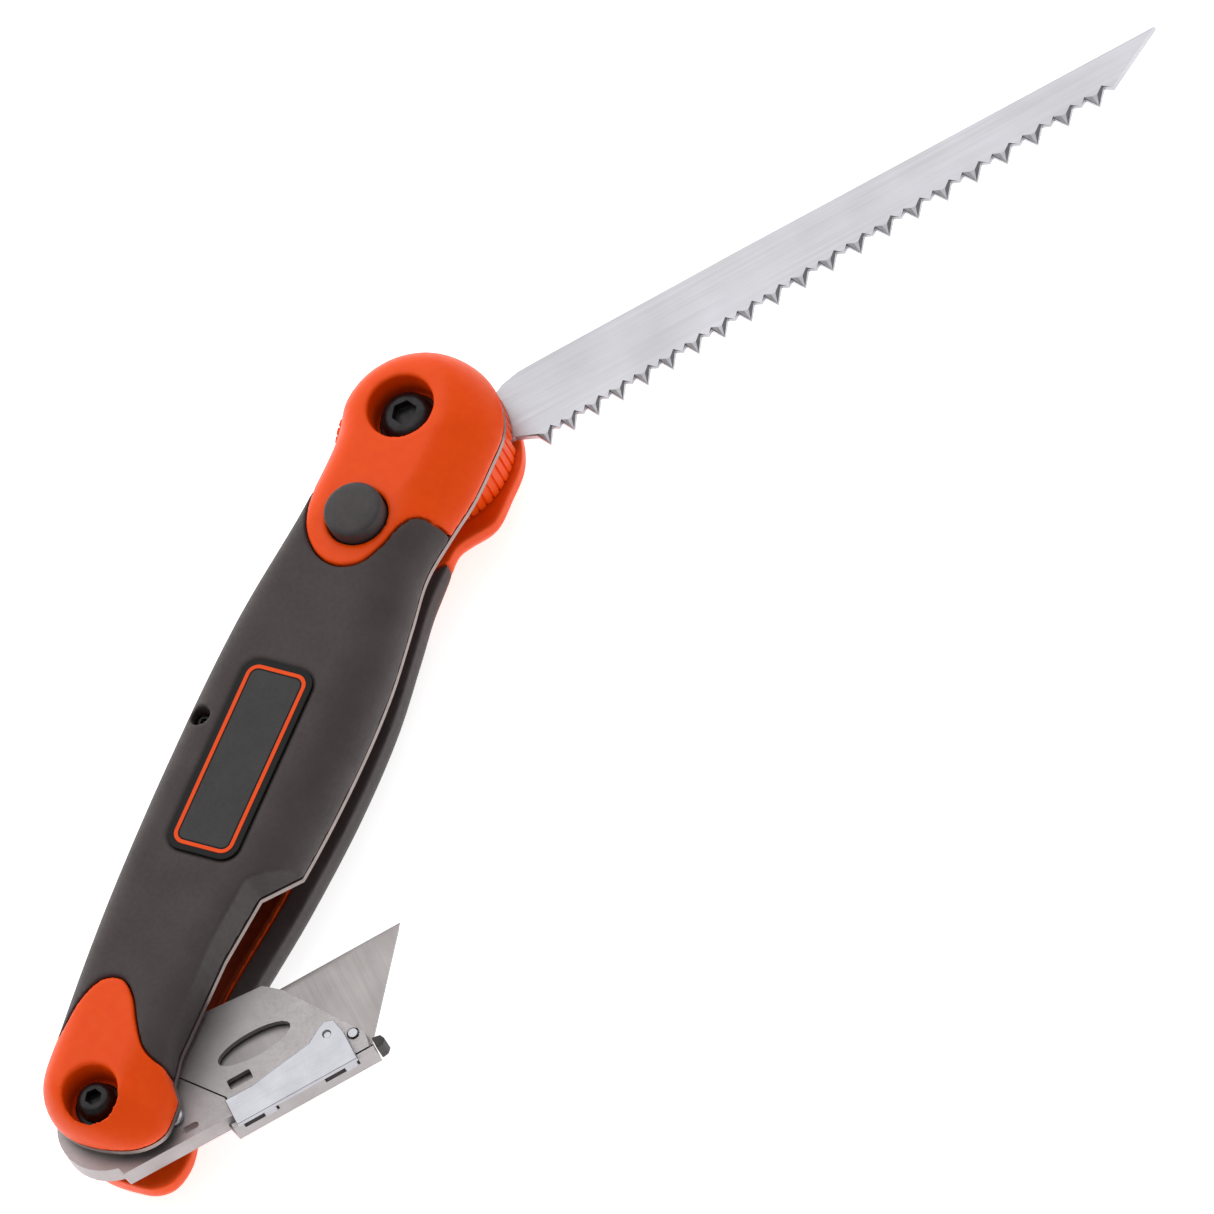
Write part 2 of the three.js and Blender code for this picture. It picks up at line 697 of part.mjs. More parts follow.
function knifeCover() {
  const outline = [
    seamTop, seamLow, [18.7, -11.6], [43.2, -11.6], [43.6, -8.8], coverCorner, [32.2, 8.6],
    [21.9, 9.5], [18.9, 9.5],
  ];
  const oval = [];
  for (let degrees = 0; degrees < 360; degrees += 15) {
    const [c, s] = polar(0, 0, 1, degrees);
    oval.push([26.7 + 6.7 * c, -0.4 + 2.3 * s]);
  }
  const slot = roundedBox(4.2, 1.9, 0.3, 22, -5.1);
  return plate(outline, coverBottom, coverTop)
    .subtract(plate(oval, 0, 20))
    .subtract(plate(slot, 0, 20))
    .subtract(disc(0.8 + fitGap, 0, 20, ...coverPinPlace, 16));
}

// Standard-height blade with one slanted end; its other end stops short of the pivot.
function utilityBlade() {
  const edge = 7.4;
  const spine = edge - utilityHeight;
  const slant = 14;
  const backEnd = utilityReach - slant;
  const outline = [[19.8, spine], [backEnd, spine], [utilityReach, edge], [19.8, edge]];
  return plate(outline, bladeSlotZ, bladeSlotZ + utilityThickness)
    .subtract(disc(0.8 + fitGap, -20, 20, ...coverPinPlace, 16));
}

function thumbStud() {
  const top = linerInner - 0.4;
  return disc(1.2, coverTop - 2, coverTop + fitGap + 0.2, 9.6, -5.6, 20)
    .add(disc(1.7, coverTop + fitGap, top, 9.6, -5.6, 24));
}

const coverPin = () =>
  disc(0.8, knifeBottom + 0.1, coverTop + fitGap, ...coverPinPlace, 16);

function channelEndCap() {
  const outline = [
    [44.1, -12.6], [45.3, -12.4], [46, -11.6], [45.6, -10.6], [44.1, -10.3],
  ];
  return plate(outline, knifeBottom + 0.1, coverTop - 0.1);
}

// Lever that slides toward the pivot to free the cover; its two tabs hook into the channel.
function bladeLatch() {
  const face = [
    [18.3, -8], [23.6, -8.1], [29.9, -7.1], [34.5, -6.4], [37.2, -4.6], [38.6, -4],
    [40, -4.6], [40.6, -7.6], [40.6, -spineOuter - 0.5], [18.3, -spineOuter - 0.5],
  ].reverse();
  const lip = -spineOuter - 0.5;
  const tab = (from) => block(from, from + 2.2, lip, -spineOuter + 0.6, coverBottom, latchBottom + 0.3);
  return plate(face, latchBottom, latchTop)
    .add(tab(23))
    .add(tab(38))
    .subtract(disc(0.7, latchTop - 0.45, 20, 38, -6.4, 16));
}

// ---------------------------------------------------------------- assembly
const handle = new THREE.Group();
const saw = new THREE.Group();
const knife = new THREE.Group();
saw.position.x = sawX;
saw.rotation.z = THREE.MathUtils.degToRad(sawRestAngle);
knife.position.x = knifeX;
knife.rotation.z = THREE.MathUtils.degToRad(knifeRestAngle);

function addPiece(group, name, shape, material) {
  const geometry = shape.isBufferGeometry ? shape : toGeometry(shape);
  const mesh = new THREE.Mesh(geometry, material);
  mesh.name = name;
  group.add(mesh);
}

function addHandle() {
  addPiece(handle, "front_shell", frontShell(), orangePlastic);
  addPiece(handle, "front_grip", frontGrip(), gripRubber);
  addPiece(handle, "front_liner", frontLiner(), brightSteel);
  addPiece(handle, "rear_shell", mirrorZ(toGeometry(rearShell())), orangePlastic);
  addPiece(handle, "rear_grip", mirrorZ(toGeometry(rearGrip())), gripRubber);
  addPiece(handle, "back_spacer", backSpacer(), orangePlastic);
  addPiece(handle, "badge_plate", badgePlate(), darkPlastic);
  addPiece(handle, "knife_lock_leaf", lockLeaf(), brightSteel);
}

function addFasteners() {
  const washerBottom = recessFloor + fitGap;
  const washerTop = washerBottom + 0.8;
  const seat = washerTop + fitGap;
  addPiece(handle, "saw_pivot_bolt", pivotBolt(sawX, sawShaftRadius, 4.5, seat), blackSteel);
  addPiece(handle, "saw_pivot_washer",
    ringWasher(sawShaftRadius + fitGap, 5.1, washerBottom, washerTop, sawX), blackSteel);
  addPiece(handle, "saw_pivot_nut", pivotNut(sawX, sawShaftRadius, 5.2), blackSteel);
  addPiece(handle, "knife_pivot_bolt", pivotBolt(knifeX, knifeShaftRadius, 3.3, seat), blackSteel);
  addPiece(handle, "knife_pivot_washer",
    ringWasher(knifeShaftRadius + fitGap, 4, washerBottom, washerTop, knifeX), blackSteel);
  addPiece(handle, "knife_pivot_nut", pivotNut(knifeX, knifeShaftRadius, 4), blackSteel);
  addPiece(handle, "body_screw", bodyScrew(), blackSteel);
  addPiece(handle, "body_nut", bodyNut(), blackSteel);
}

function addThrustWashers() {
  const inner = linerInner - fitGap;
  const sawBore = sawShaftRadius + fitGap;
  const knifeBore = knifeShaftRadius + fitGap;
  addPiece(handle, "saw_front_thrust_washer",
    ringWasher(sawBore, 6, hubTop + fitGap, inner, sawX), nylon);
  addPiece(handle, "saw_rear_thrust_washer",
    ringWasher(sawBore, 6, -inner, bladeBottom - fitGap, sawX), nylon);
  addPiece(handle, "knife_front_thrust_washer",
    ringWasher(knifeBore, 5, coverTop + fitGap, inner, knifeX), nylon);
  addPiece(handle, "knife_rear_bushing",
    ringWasher(knifeBore, 3, -inner, knifeBottom - fitGap, knifeX), nylon);
}

function addLock() {
  addPiece(handle, "lock_button", lockButton(), darkPlastic);
  addPiece(handle, "lock_plunger", lockPlunger(), brightSteel);
  addPiece(handle, "lock_spring", lockSpring(), brightSteel);
}

function addSaw() {
  addPiece(saw, "saw_blade", sawBlade(), brightSteel);
  addPiece(saw, "saw_hub", sawHub(), orangePlastic);
  rivetAngles.forEach((degrees, i) =>
    addPiece(saw, `hub_rivet_${i + 1}`, hubRivet(degrees), brightSteel));
}

function addKnife() {
  addPiece(knife, "knife_carrier", knifeCarrier(), knifeSteel);
  addPiece(knife, "knife_cover", knifeCover(), knifeSteel);
  addPiece(knife, "utility_blade", utilityBlade(), brightSteel);
  addPiece(knife, "thumb_stud", thumbStud(), brightSteel);
  addPiece(knife, "cover_pin", coverPin(), brightSteel);
  addPiece(knife, "channel_end_cap", channelEndCap(), darkPlastic);
  addPiece(knife, "blade_latch", bladeLatch(), brightSteel);
}

addHandle();
addFasteners();
addThrustWashers();
addLock();
addSaw();
addKnife();

const tool = new THREE.Group();
tool.add(handle, saw, knife);
tool.position.z = halfThickness;

export default tool;
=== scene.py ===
"""Looks of the folding drywall saw: moulded handle halves, ground blades, fasteners and finishes.

Lengths below are in millimetres unless a name says otherwise, in the row frame: X from the knife
pivot to the saw pivot, Y to the closed back, Z out of the front face, origin on the rear face.
"""
import math

import bmesh
import bpy
from mathutils import Matrix, Vector


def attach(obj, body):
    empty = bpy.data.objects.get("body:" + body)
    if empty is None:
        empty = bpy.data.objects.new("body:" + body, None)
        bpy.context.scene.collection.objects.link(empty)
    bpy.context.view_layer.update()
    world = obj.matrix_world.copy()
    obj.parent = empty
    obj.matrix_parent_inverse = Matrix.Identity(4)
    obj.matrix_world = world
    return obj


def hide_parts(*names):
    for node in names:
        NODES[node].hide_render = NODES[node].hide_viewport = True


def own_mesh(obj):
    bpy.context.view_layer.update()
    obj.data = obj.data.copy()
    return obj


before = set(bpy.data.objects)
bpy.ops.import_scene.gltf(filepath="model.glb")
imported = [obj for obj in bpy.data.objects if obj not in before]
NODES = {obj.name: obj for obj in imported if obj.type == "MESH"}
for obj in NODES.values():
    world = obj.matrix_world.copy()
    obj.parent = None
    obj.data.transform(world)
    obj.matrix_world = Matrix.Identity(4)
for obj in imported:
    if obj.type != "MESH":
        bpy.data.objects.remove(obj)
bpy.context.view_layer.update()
MM = 0.001
VOXEL = 0.36                    # of the moulded halves
FAR = 30.0                      # reach of cutters that run past the part

# ------------------------------------------------------------------ sizes shared with the CAD part
MID = 14.0                      # middle plane of the blade space above the rear face
SAW_X = 65.0
KNIFE_X = -65.0
HALF = 14.0
LINER_INNER = 4.2
LINER_THICKNESS = 1.0
SHELL_INNER = 5.5
WALL_TOP = 6.5
CORE_TOP = 9.5
CORE_INSET = 1.6
REAR_CORE_INSET = 3.6           # the rubber of the rear half laps inside its slot
REAR_SETBACK = 2.7              # slot side of the rear half, behind the front half's
HOLLOW_ENDS = (KNIFE_X + 13, SAW_X - 20)
HOLLOW_WALL = 1.4
HOLLOW_TOP = CORE_TOP - 1.6
GAP = 0.3
RECESS_FLOOR = 7.5
SAW_RECESS = 5.7
KNIFE_RECESS = 4.8
SAW_SHAFT = 3.0
KNIFE_SHAFT = 2.0
SAW_BOLT_HEAD = 4.5
KNIFE_BOLT_HEAD = 3.3
SAW_WASHER = 5.1
KNIFE_WASHER = 4.0
WASHER_THICKNESS = 0.8
WASHER_EDGE = 0.12
BOLT_END = RECESS_FLOOR + GAP + 2.2
SAW_REST = -42.8
KNIFE_REST = -42.0
BUTTON = (44.2, -1.2)
BUTTON_RADIUS = 5.0
BUTTON_FACE = 17.0
PLUNGER_HOLE = 2.6 + GAP
LEAF = (-37.5, -4.0)            # middle of the liner-lock leaf
LEAF_SLOT = (31.6, 4.6)
LEAF_RELIEF = (33.0, 5.8)
LEAF_RELIEF_DEPTH = 2.4
SCREW = (3.5, 10.2)
SCREW_BOSS = 2.35
SCREW_SHAFT = 0.85
SCREW_HEAD = 1.55
SPACER_ENDS = (-28.0, 28.0)
SPACER_EDGE = 8.5
BADGE = (-2.5, -0.3)
BADGE_SIZE = (36.0, 13.2)
BADGE_CORNER = 3.0
BADGE_RISE = 0.22
BADGE_LINE_RISE = 0.3
BADGE_LINE = (1.1, 1.75)        # its outer and inner edge, in from the badge's edge
BADGE_FIELD = 2.0
HUB_RADIUS = 14.5
HUB_RIBS = 56
HUB_GROOVE = 0.35
HUB_STOPS = (-135.5, -45, 0, 42.8)
RIVET_HOLE = 1.7
RIVET_CIRCLE = 9.0
RIVET_ANGLES = (80, 200, 320)
BLADE_EXIT = -6.8               # toothed side of the opening in the hub's skirt
HUB_BOTTOM = -1.6
SKIRT_BOTTOM = -3.9
TANG_RADIUS = 11.5
HUB_TOP = 3.1
BLADE_BOTTOM = -3.1
BLADE_TOP = -1.9
KNIFE_BLADE_Z = (0.5, 1.15)


# ------------------------------------------------------------------ curves
def centripetal(points, closed, samples):
    """Points evenly spaced by length along a centripetal Catmull-Rom curve."""
    count = len(points)
    knots = [Vector(p) for p in points]
    spans = count if closed else count - 1
    fine = []
    for i in range(spans):
        p1 = knots[i]
        p2 = knots[(i + 1) % count]
        p0 = knots[i - 1] if closed or i > 0 else p1 * 2 - p2
        p3 = knots[(i + 2) % count] if closed or i + 2 < count else p2 * 2 - p1
        fine += [span_point(p0, p1, p2, p3, step / 24) for step in range(24)]
    fine.append(fine[0] if closed else knots[-1])
    return even_spacing(fine, samples, closed)


def span_point(p0, p1, p2, p3, share):
    t1 = (p1 - p0).length ** 0.5
    t2 = t1 + (p2 - p1).length ** 0.5
    t3 = t2 + (p3 - p2).length ** 0.5
    t = t1 + (t2 - t1) * share
    a1 = p0 * ((t1 - t) / t1) + p1 * (t / t1)
    a2 = p1 * ((t2 - t) / (t2 - t1)) + p2 * ((t - t1) / (t2 - t1))
    a3 = p2 * ((t3 - t) / (t3 - t2)) + p3 * ((t - t2) / (t3 - t2))
    b1 = a1 * ((t2 - t) / t2) + a2 * (t / t2)
    b2 = a2 * ((t3 - t) / (t3 - t1)) + a3 * ((t - t1) / (t3 - t1))
    return b1 * ((t2 - t) / (t2 - t1)) + b2 * ((t - t1) / (t2 - t1))


def even_spacing(fine, samples, closed):
    lengths = [0.0]
    for a, b in zip(fine, fine[1:]):
        lengths.append(lengths[-1] + (b - a).length)
    steps = samples if closed else samples - 1
    result = []
    j = 0
    for i in range(samples):
        target = lengths[-1] * i / steps
        while j < len(fine) - 2 and lengths[j + 1] < target:
            j += 1
        share = (target - lengths[j]) / max(lengths[j + 1] - lengths[j], 1e-9)
        result.append(fine[j].lerp(fine[j + 1], share))
    return result


def polar(x, y, radius, degrees):
    angle = math.radians(degrees)
    return (x + radius * math.cos(angle), y + radius * math.sin(angle))


def rectangle(left, low, right, high):
    return [(left, low), (right, low), (right, high), (left, high)]


def rounded_box(length, width, corner, center, steps=8):
    points = []
    for sx, sy, start in ((1, 1, 0), (-1, 1, 90), (-1, -1, 180), (1, -1, 270)):
        x = center[0] + sx * (length / 2 - corner)
        y = center[1] + sy * (width / 2 - corner)
        points += [polar(x, y, corner, start + 90 * i / steps) for i in range(steps + 1)]
    return points


def smoothstep(low, high, value):
    t = min(max((value - low) / (high - low), 0.0), 1.0)
    return t * t * (3 - 2 * t)


def lerp(a, b, share):
    return a + (b - a) * share


# ------------------------------------------------------------------ meshes
def new_object(name, mesh):
    obj = bpy.data.objects.new(name, mesh)
    bpy.context.scene.collection.objects.link(obj)
    return obj


def mesh_object(name, verts, faces):
    mesh = bpy.data.meshes.new(name)
    mesh.from_pydata([(x * MM, y * MM, (z + MID) * MM) for x, y, z in verts], [], faces)
    mesh.update()
    return new_object(name, mesh)


def ring_object(name, rings):
    """A closed form through rings of equal length, with flat ends."""
    count = len(rings[0])
    verts = [point for ring in rings for point in ring]
    faces = []
    for r in range(len(rings) - 1):
        for i in range(count):
            a = r * count + i
            b = r * count + (i + 1) % count
            faces.append((a, b, b + count, a + count))
    faces.append(tuple(reversed(range(count))))
    faces.append(tuple(range(len(verts) - count, len(verts))))
    return mesh_object(name, verts, faces)


def prism(name, outline, bottom, top):
    """An upright solid on an outline that may run either way round."""
    turns = sum(a[0] * b[1] - b[0] * a[1] for a, b in zip(outline, outline[1:] + outline[:1]))
    if turns < 0:
        outline = outline[::-1]
    return ring_object(name, [[(x, y, bottom) for x, y in outline], [(x, y, top) for x, y in outline]])


def cylinder(radius, bottom, top, x=0.0, y=0.0, sides=64):
    outline = [polar(x, y, radius, 360 * i / sides) for i in range(sides)]
    return prism("cutter", outline, bottom, top)


def lathe(name, profile, x, y, sides=72):
    """A turned solid from (radius, height) pairs; the first and last lie on the axis."""
    rings = []
    for radius, height in profile[1:-1]:
        rings.append([(*polar(x, y, radius, 360 * i / sides), height) for i in range(sides)])
    return ring_object(name, rings)


def chamfered_ring(name, inner, outer, bottom, top, x):
    """A washer with chamfered edges."""
    edge = WASHER_EDGE
    profile = [
        (inner, bottom), (outer - edge, bottom), (outer, bottom + edge), (outer, top - edge),
        (outer - edge, top), (inner + edge, top), (inner, top - edge),
    ]
    sides = 72
    verts = []
    for radius, height in profile:
        verts += [(*polar(x, 0, radius, 360 * i / sides), height) for i in range(sides)]
    faces = []
    for r in range(len(profile)):
        for i in range(sides):
            a = r * sides + i
            b = r * sides + (i + 1) % sides
            c = ((r + 1) % len(profile)) * sides
            faces.append((a, b, c + (i + 1) % sides, c + i))
    return mesh_object(name, verts, faces)


def bake(obj):
    """Replaces an object's mesh by what its modifiers make of it."""
    depsgraph = bpy.context.evaluated_depsgraph_get()
    mesh = bpy.data.meshes.new_from_object(obj.evaluated_get(depsgraph))
    old = obj.data
    obj.modifiers.clear()
    obj.data = mesh
    bpy.data.meshes.remove(old)
    return obj


def boolean(obj, operation, *others):
    for other in others:
        modifier = obj.modifiers.new("boolean", "BOOLEAN")
        modifier.operation = operation
        modifier.solver = "MANIFOLD"
        modifier.object = other
        bake(obj)
        bpy.data.objects.remove(other)
    return obj


def moulded(obj, rounds):
    """Even quads with every edge softened, as a moulded surface has."""
    modifier = obj.modifiers.new("voxels", "REMESH")
    modifier.mode = "VOXEL"
    modifier.voxel_size = VOXEL * MM
    modifier = obj.modifiers.new("soften", "SMOOTH")
    modifier.iterations = rounds
    modifier.factor = 0.5
    bake(obj)
    shade_smooth(obj)
    return obj


def shade_smooth(obj):
    obj.data.polygons.foreach_set("use_smooth", [True] * len(obj.data.polygons))
    obj.data.update()


def bevel(obj, width, segments=2, angle=30):
    """Small rounded edges on a stamped or machined piece."""
    modifier = obj.modifiers.new("bevel", "BEVEL")
    modifier.width = width * MM
    modifier.segments = segments
    modifier.limit_method = "ANGLE"
    modifier.angle_limit = math.radians(angle)
    modifier = obj.modifiers.new("normals", "WEIGHTED_NORMAL")
    modifier.keep_sharp = True
    shade_smooth(obj)
    return bake(obj)


def node_copy(node, name):
    """A new object with the same shape as a CAD node, its flat faces merged."""
    obj = new_object(name, NODES[node].data.copy())
    obj.data.materials.clear()
    bm = bmesh.new()
    bm.from_mesh(obj.data)
    bmesh.ops.remove_doubles(bm, verts=bm.verts, dist=2e-6)
    bmesh.ops.dissolve_limit(bm, angle_limit=math.radians(1), verts=bm.verts, edges=bm.edges)
    bm.to_mesh(obj.data)
    bm.free()
    return obj


def turn(obj, pivot_x, degrees):
    """Turns a mesh drawn along +X from the row's Z axis to its place on a pivot."""
    turned = Matrix.Rotation(math.radians(degrees), 4, "Z")
    obj.data.transform(Matrix.Translation((pivot_x * MM, 0, 0)) @ turned)
    obj.data.update()
    return obj


def mirror_half(obj):
    """Turns a front-half form into a rear-half form about the middle plane."""
    mirror = Matrix.Translation((0, 0, 2 * MID * MM)) @ Matrix.Diagonal((1, 1, -1, 1))
    obj.data.transform(mirror)
    obj.data.flip_normals()
    return obj


def place(obj, name, body, slot, material, *nodes):
    """Puts a piece on its body, with its finish, in place of the CAD nodes that it shows."""
    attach(obj, body)
    obj.data.materials.clear()
    obj.data.materials.append(material)
    if nodes:
        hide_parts(*nodes)
    obj.name = name
    return obj


# ------------------------------------------------------------------ handle outline and seams
OUTLINE_SAMPLES = 260
SEAM_SAMPLES = 90
SPINE_Y = -2                    # the line that outline points are inset toward
SPINE_ENDS = (KNIFE_X + 4, SAW_X - 3)


def slot_line(setback):
    """The slot side from the cap to the head; the rear half is set back behind its head."""
    line = [
        (KNIFE_X + 12, -11.2 + setback * 0.4), (-36, -12.4 + setback * 0.7), (-17, -15.4 + setback),
        (2, -16.6 + setback), (18, -16.3 + setback), (SAW_X - 34, -14.7 + setback),
        (SAW_X - 25, -13.5 + setback),
    ]
    if setback:
        return line + [
            (SAW_X - 18.5, -10.8), (SAW_X - 14.5, -11), (SAW_X - 11.8, -12.8), (SAW_X - 8.5, -15.4),
        ]
    return line + [(SAW_X - 17, -14.4), (SAW_X - 10, -15.5)]


def cap_line(setback):
    """Round the end from the back to the slot side; the rear half reaches beside the folded tip."""
    if setback:
        end = KNIFE_X - 7.2
        return [
            (KNIFE_X, 10.6), (end + 3.2, 7.4), (end + 0.9, 2), (end + 0.1, -4.5), (end + 0.3, -8.6),
            (end + 2.2, -11.4), (KNIFE_X - 0.5, -12.6), (KNIFE_X + 5, -11.6),
        ]
    end = KNIFE_X - 6.2
    return [
        (KNIFE_X, 10.6), (end + 2.1, 7.6), (end, 3), (end, -3.5), (end + 1.8, -8.9),
        (end + 5.2, -11.9), (KNIFE_X + 4, -11.9),
    ]


def handle_outline(setback=0.0):
    head = [polar(SAW_X - 0.7, SPINE_Y, 13.9, -100 + 215 * i / 8) for i in range(9)]
    back = [(SAW_X - 19, 10.8), (22, 13.5), (-5, 14.2), (-32, 13.6), (KNIFE_X + 11, 11.9)]
    return centripetal(head + back + cap_line(setback) + slot_line(setback), True, OUTLINE_SAMPLES)


HEAD_SEAM = [
    (SAW_X - 13, FAR), (SAW_X - 15, 15), (SAW_X - 16.5, 10), (SAW_X - 21.5, 8.2), (SAW_X - 26, 6),
    (SAW_X - 29.2, 2.5), (SAW_X - 30.1, -1.5), (SAW_X - 28.5, -5.2), (SAW_X - 24.5, -7.4),
    (SAW_X - 20.2, -8.6), (SAW_X - 17.7, -10.3), (SAW_X - 17, -13), (SAW_X - 17.4, -18),
    (SAW_X - 18, -FAR),
]
CAP_SEAM = [
    (KNIFE_X + 5, FAR), (KNIFE_X + 6, 14), (KNIFE_X + 8.5, 10.4), (KNIFE_X + 15, 8.6),
    (KNIFE_X + 19.5, 6.2), (KNIFE_X + 20.4, 3), (KNIFE_X + 18, 0), (KNIFE_X + 13.5, -2.8),
    (KNIFE_X + 9.6, -5.8), (KNIFE_X + 8.6, -9), (KNIFE_X + 8.4, -14), (KNIFE_X + 8.4, -FAR),
]


def notch_outline(margin=0.0):
    """Where the front half is cut back so that a thumb reaches the knife; the margin widens it."""
    return [
        (KNIFE_X + 4 - margin, -FAR), (KNIFE_X + 4 - margin, -12.6),
        (KNIFE_X + 8 - margin / 2, -9.4 + margin), (KNIFE_X + 13, -8.4 + margin), (-34, -8.5 + margin),
        (-22 + margin / 2, -9.8 + margin), (-16.5 + margin, -15.3 + margin / 2), (-16.5 + margin, -FAR),
    ]


def spine_point(p):
    return Vector((min(max(p[0], SPINE_ENDS[0]), SPINE_ENDS[1]), SPINE_Y))


def inset_point(p, amount):
    toward = spine_point(p) - Vector(p)
    return Vector(p) + toward * (amount / toward.length)


def inset_outline(amount, setback=0.0):
    return [tuple(inset_point(p, amount)) for p in handle_outline(setback)]


def shifted(path, amount):
    """The path moved sideways, to the left of its direction."""
    result = []
    for i, point in enumerate(path):
        along = path[min(i + 1, len(path) - 1)] - path[max(i - 1, 0)]
        side = Vector((-along.y, along.x)).normalized()
        result.append(tuple(point + side * amount))
    return result


def seam_regions():
    """Head, cap and grip as closed outlines, half a gap apart from the seams."""
    head = centripetal(HEAD_SEAM, False, SEAM_SAMPLES)
    cap = centripetal(CAP_SEAM, False, SEAM_SAMPLES)
    end = 2 * (SAW_X + 5)
    head_region = shifted(head, GAP / 2) + [(end, -FAR), (end, FAR)]
    cap_region = list(reversed(shifted(cap, -GAP / 2) + [(-end, -FAR), (-end, FAR)]))
    grip_region = shifted(cap, GAP / 2) + list(reversed(shifted(head, -GAP / 2)))
    return head_region, cap_region, grip_region


HEAD_REGION, CAP_REGION, GRIP_REGION = seam_regions()


# ------------------------------------------------------------------ handle halves
EDGE_WIDTH = (5.5, 8.5)         # at the back and at the slot
EDGE_ROUNDNESS = (2.0, 1.35)    # 2 is round, less is flatter
EDGE_STEPS = 14


def edge_form(p):
    """Width and roundness of the edge at an outline point: flatter slopes beside the head and cap."""
    away = Vector(p) - spine_point(p)
    toward_slot = 0.5 - 0.5 * away.y / away.length
    near_head = smoothstep(SAW_X - 24, SAW_X - 12, p[0])
    near_cap = 1 - smoothstep(KNIFE_X + 4, KNIFE_X + 16, p[0])
    flatter = max(near_head, near_cap) * smoothstep(0.35, 0.9, toward_slot)
    return lerp(*EDGE_WIDTH, toward_slot), lerp(*EDGE_ROUNDNESS, flatter)


def half_form(inner_face, setback):
    """A half of the handle as one closed form, from its inner face to its flat outer face."""
    outline = handle_outline(setback)
    rings = [[(p.x, p.y, inner_face) for p in outline]]
    for step in range(EDGE_STEPS + 1):
        angle = math.pi / 2 * step / EDGE_STEPS
        ring = []
        for p in outline:
            width, roundness = edge_form(p)
            inset = width * (1 - max(math.cos(angle), 0) ** (2 / roundness))
            height = WALL_TOP + (HALF - WALL_TOP) * math.sin(angle) ** (2 / roundness)
            ring.append((*inset_point(p, inset), height))
        rings.append(ring)
    return ring_object("half", rings)


def recess_cutters(x, shaft, recess):
    return [cylinder(shaft + GAP, -1, HALF + 1, x), cylinder(recess, RECESS_FLOOR, HALF + 1, x)]


def cut_recesses(obj):
    cutters = recess_cutters(SAW_X, SAW_SHAFT, SAW_RECESS)
    cutters += recess_cutters(KNIFE_X, KNIFE_SHAFT, KNIFE_RECESS)
    return boolean(obj, "DIFFERENCE", *cutters, cylinder(SCREW_SHAFT + GAP, -20, 20, *SCREW))


def front_core(gap, bottom, top):
    core = prism("core", inset_outline(CORE_INSET + gap), bottom, top)
    return boolean(core, "DIFFERENCE", prism("cutter", notch_outline(CORE_INSET + gap), bottom - 1, top + 1))


def rear_core(gap, bottom, top):
    return prism("core", inset_outline(REAR_CORE_INSET + gap, REAR_SETBACK), bottom, top)


def rear_hollow():
    """The rear core is moulded hollow between the pivots, open to the blade space."""
    left, right = HOLLOW_ENDS
    keep = prism("cutter", rectangle(left, -FAR, right, FAR), 0, CORE_TOP)
    hollow = prism("cutter", inset_outline(REAR_CORE_INSET + HOLLOW_WALL, REAR_SETBACK), 0, HOLLOW_TOP)
    return boolean(hollow, "INTERSECT", keep)


def shell(inner_face, setback, core):
    """Head and cap in plastic, to join to the core that the rubber covers."""
    head = prism("cutter", HEAD_REGION, 0, HALF + 1)
    cap = prism("cutter", CAP_REGION, 0, HALF + 1)
    head = boolean(half_form(inner_face, setback), "INTERSECT", head)
    cap = boolean(half_form(inner_face, setback), "INTERSECT", cap)
    return boolean(core, "UNION", head, cap)


def grip(inner_face, setback, pocket):
    """The rubber over the middle of the form."""
    middle = prism("cutter", GRIP_REGION, 0, HALF + 1)
    obj = boolean(half_form(inner_face, setback), "INTERSECT", middle)
    boss = cylinder(SCREW_BOSS + GAP, 0, CORE_TOP, *SCREW)
    well = cylinder(SCREW_HEAD + GAP, CORE_TOP - 1, HALF + 1, *SCREW)
    return boolean(obj, "DIFFERENCE", pocket, boss, well)


def leaf_relief():
    """Room over the liner-lock leaf for its swing."""
    x, y = LEAF
    length, width = LEAF_RELIEF
    outline = rectangle(x - length / 2, y - width / 2, x + length / 2, y + width / 2)
    return prism("cutter", outline, 0, SHELL_INNER + LEAF_RELIEF_DEPTH)


def front_shell():
    obj = shell(SHELL_INNER, 0.0, front_core(GAP, SHELL_INNER, CORE_TOP))
    obj = boolean(obj, "DIFFERENCE", prism("cutter", notch_outline(), 0, HALF + 1))
    well = cylinder(BUTTON_RADIUS + GAP, SHELL_INNER + 1, HALF + 1, *BUTTON)
    return moulded(boolean(cut_recesses(obj), "DIFFERENCE", well, leaf_relief()), 5)


def front_grip():
    obj = grip(SHELL_INNER, 0.0, front_core(0, 0, CORE_TOP + GAP))
    obj = boolean(obj, "DIFFERENCE", prism("cutter", notch_outline(), 0, HALF + 1))
    pocket = prism("cutter", badge_outline(-GAP, BADGE_CORNER + GAP), HALF - 2 * GAP, HALF + 1)
    return moulded(boolean(obj, "DIFFERENCE", pocket), 4)


def rear_shell():
    obj = shell(LINER_INNER, REAR_SETBACK, rear_core(GAP, LINER_INNER, CORE_TOP))
    obj = boolean(obj, "DIFFERENCE", rear_hollow())
    obj = boolean(obj, "UNION", cylinder(SCREW_BOSS, LINER_INNER, CORE_TOP, *SCREW))
    return mirror_half(moulded(cut_recesses(obj), 5))


def mark_hollow(obj, inside):
    """Gives the inner face of the rear core and the hollow in it a rougher finish and a darker orange, which
    is painted shade for their depth in the blade slot.
    """
    obj.data.materials.append(inside)
    left, right = HOLLOW_ENDS
    for face in obj.data.polygons:
        x, y, z = face.center / MM
        depth = MID - z
        toward = spine_point((x, y)) - Vector((x, y))
        in_hollow = left - 0.5 < x < right + 0.5 and LINER_INNER - 0.2 < depth < HOLLOW_TOP + 0.4
        inward = face.normal.z > 0.6 or face.normal.to_2d().dot(toward) > 0.5 * toward.length
        face.material_index = 1 if in_hollow and inward else 0


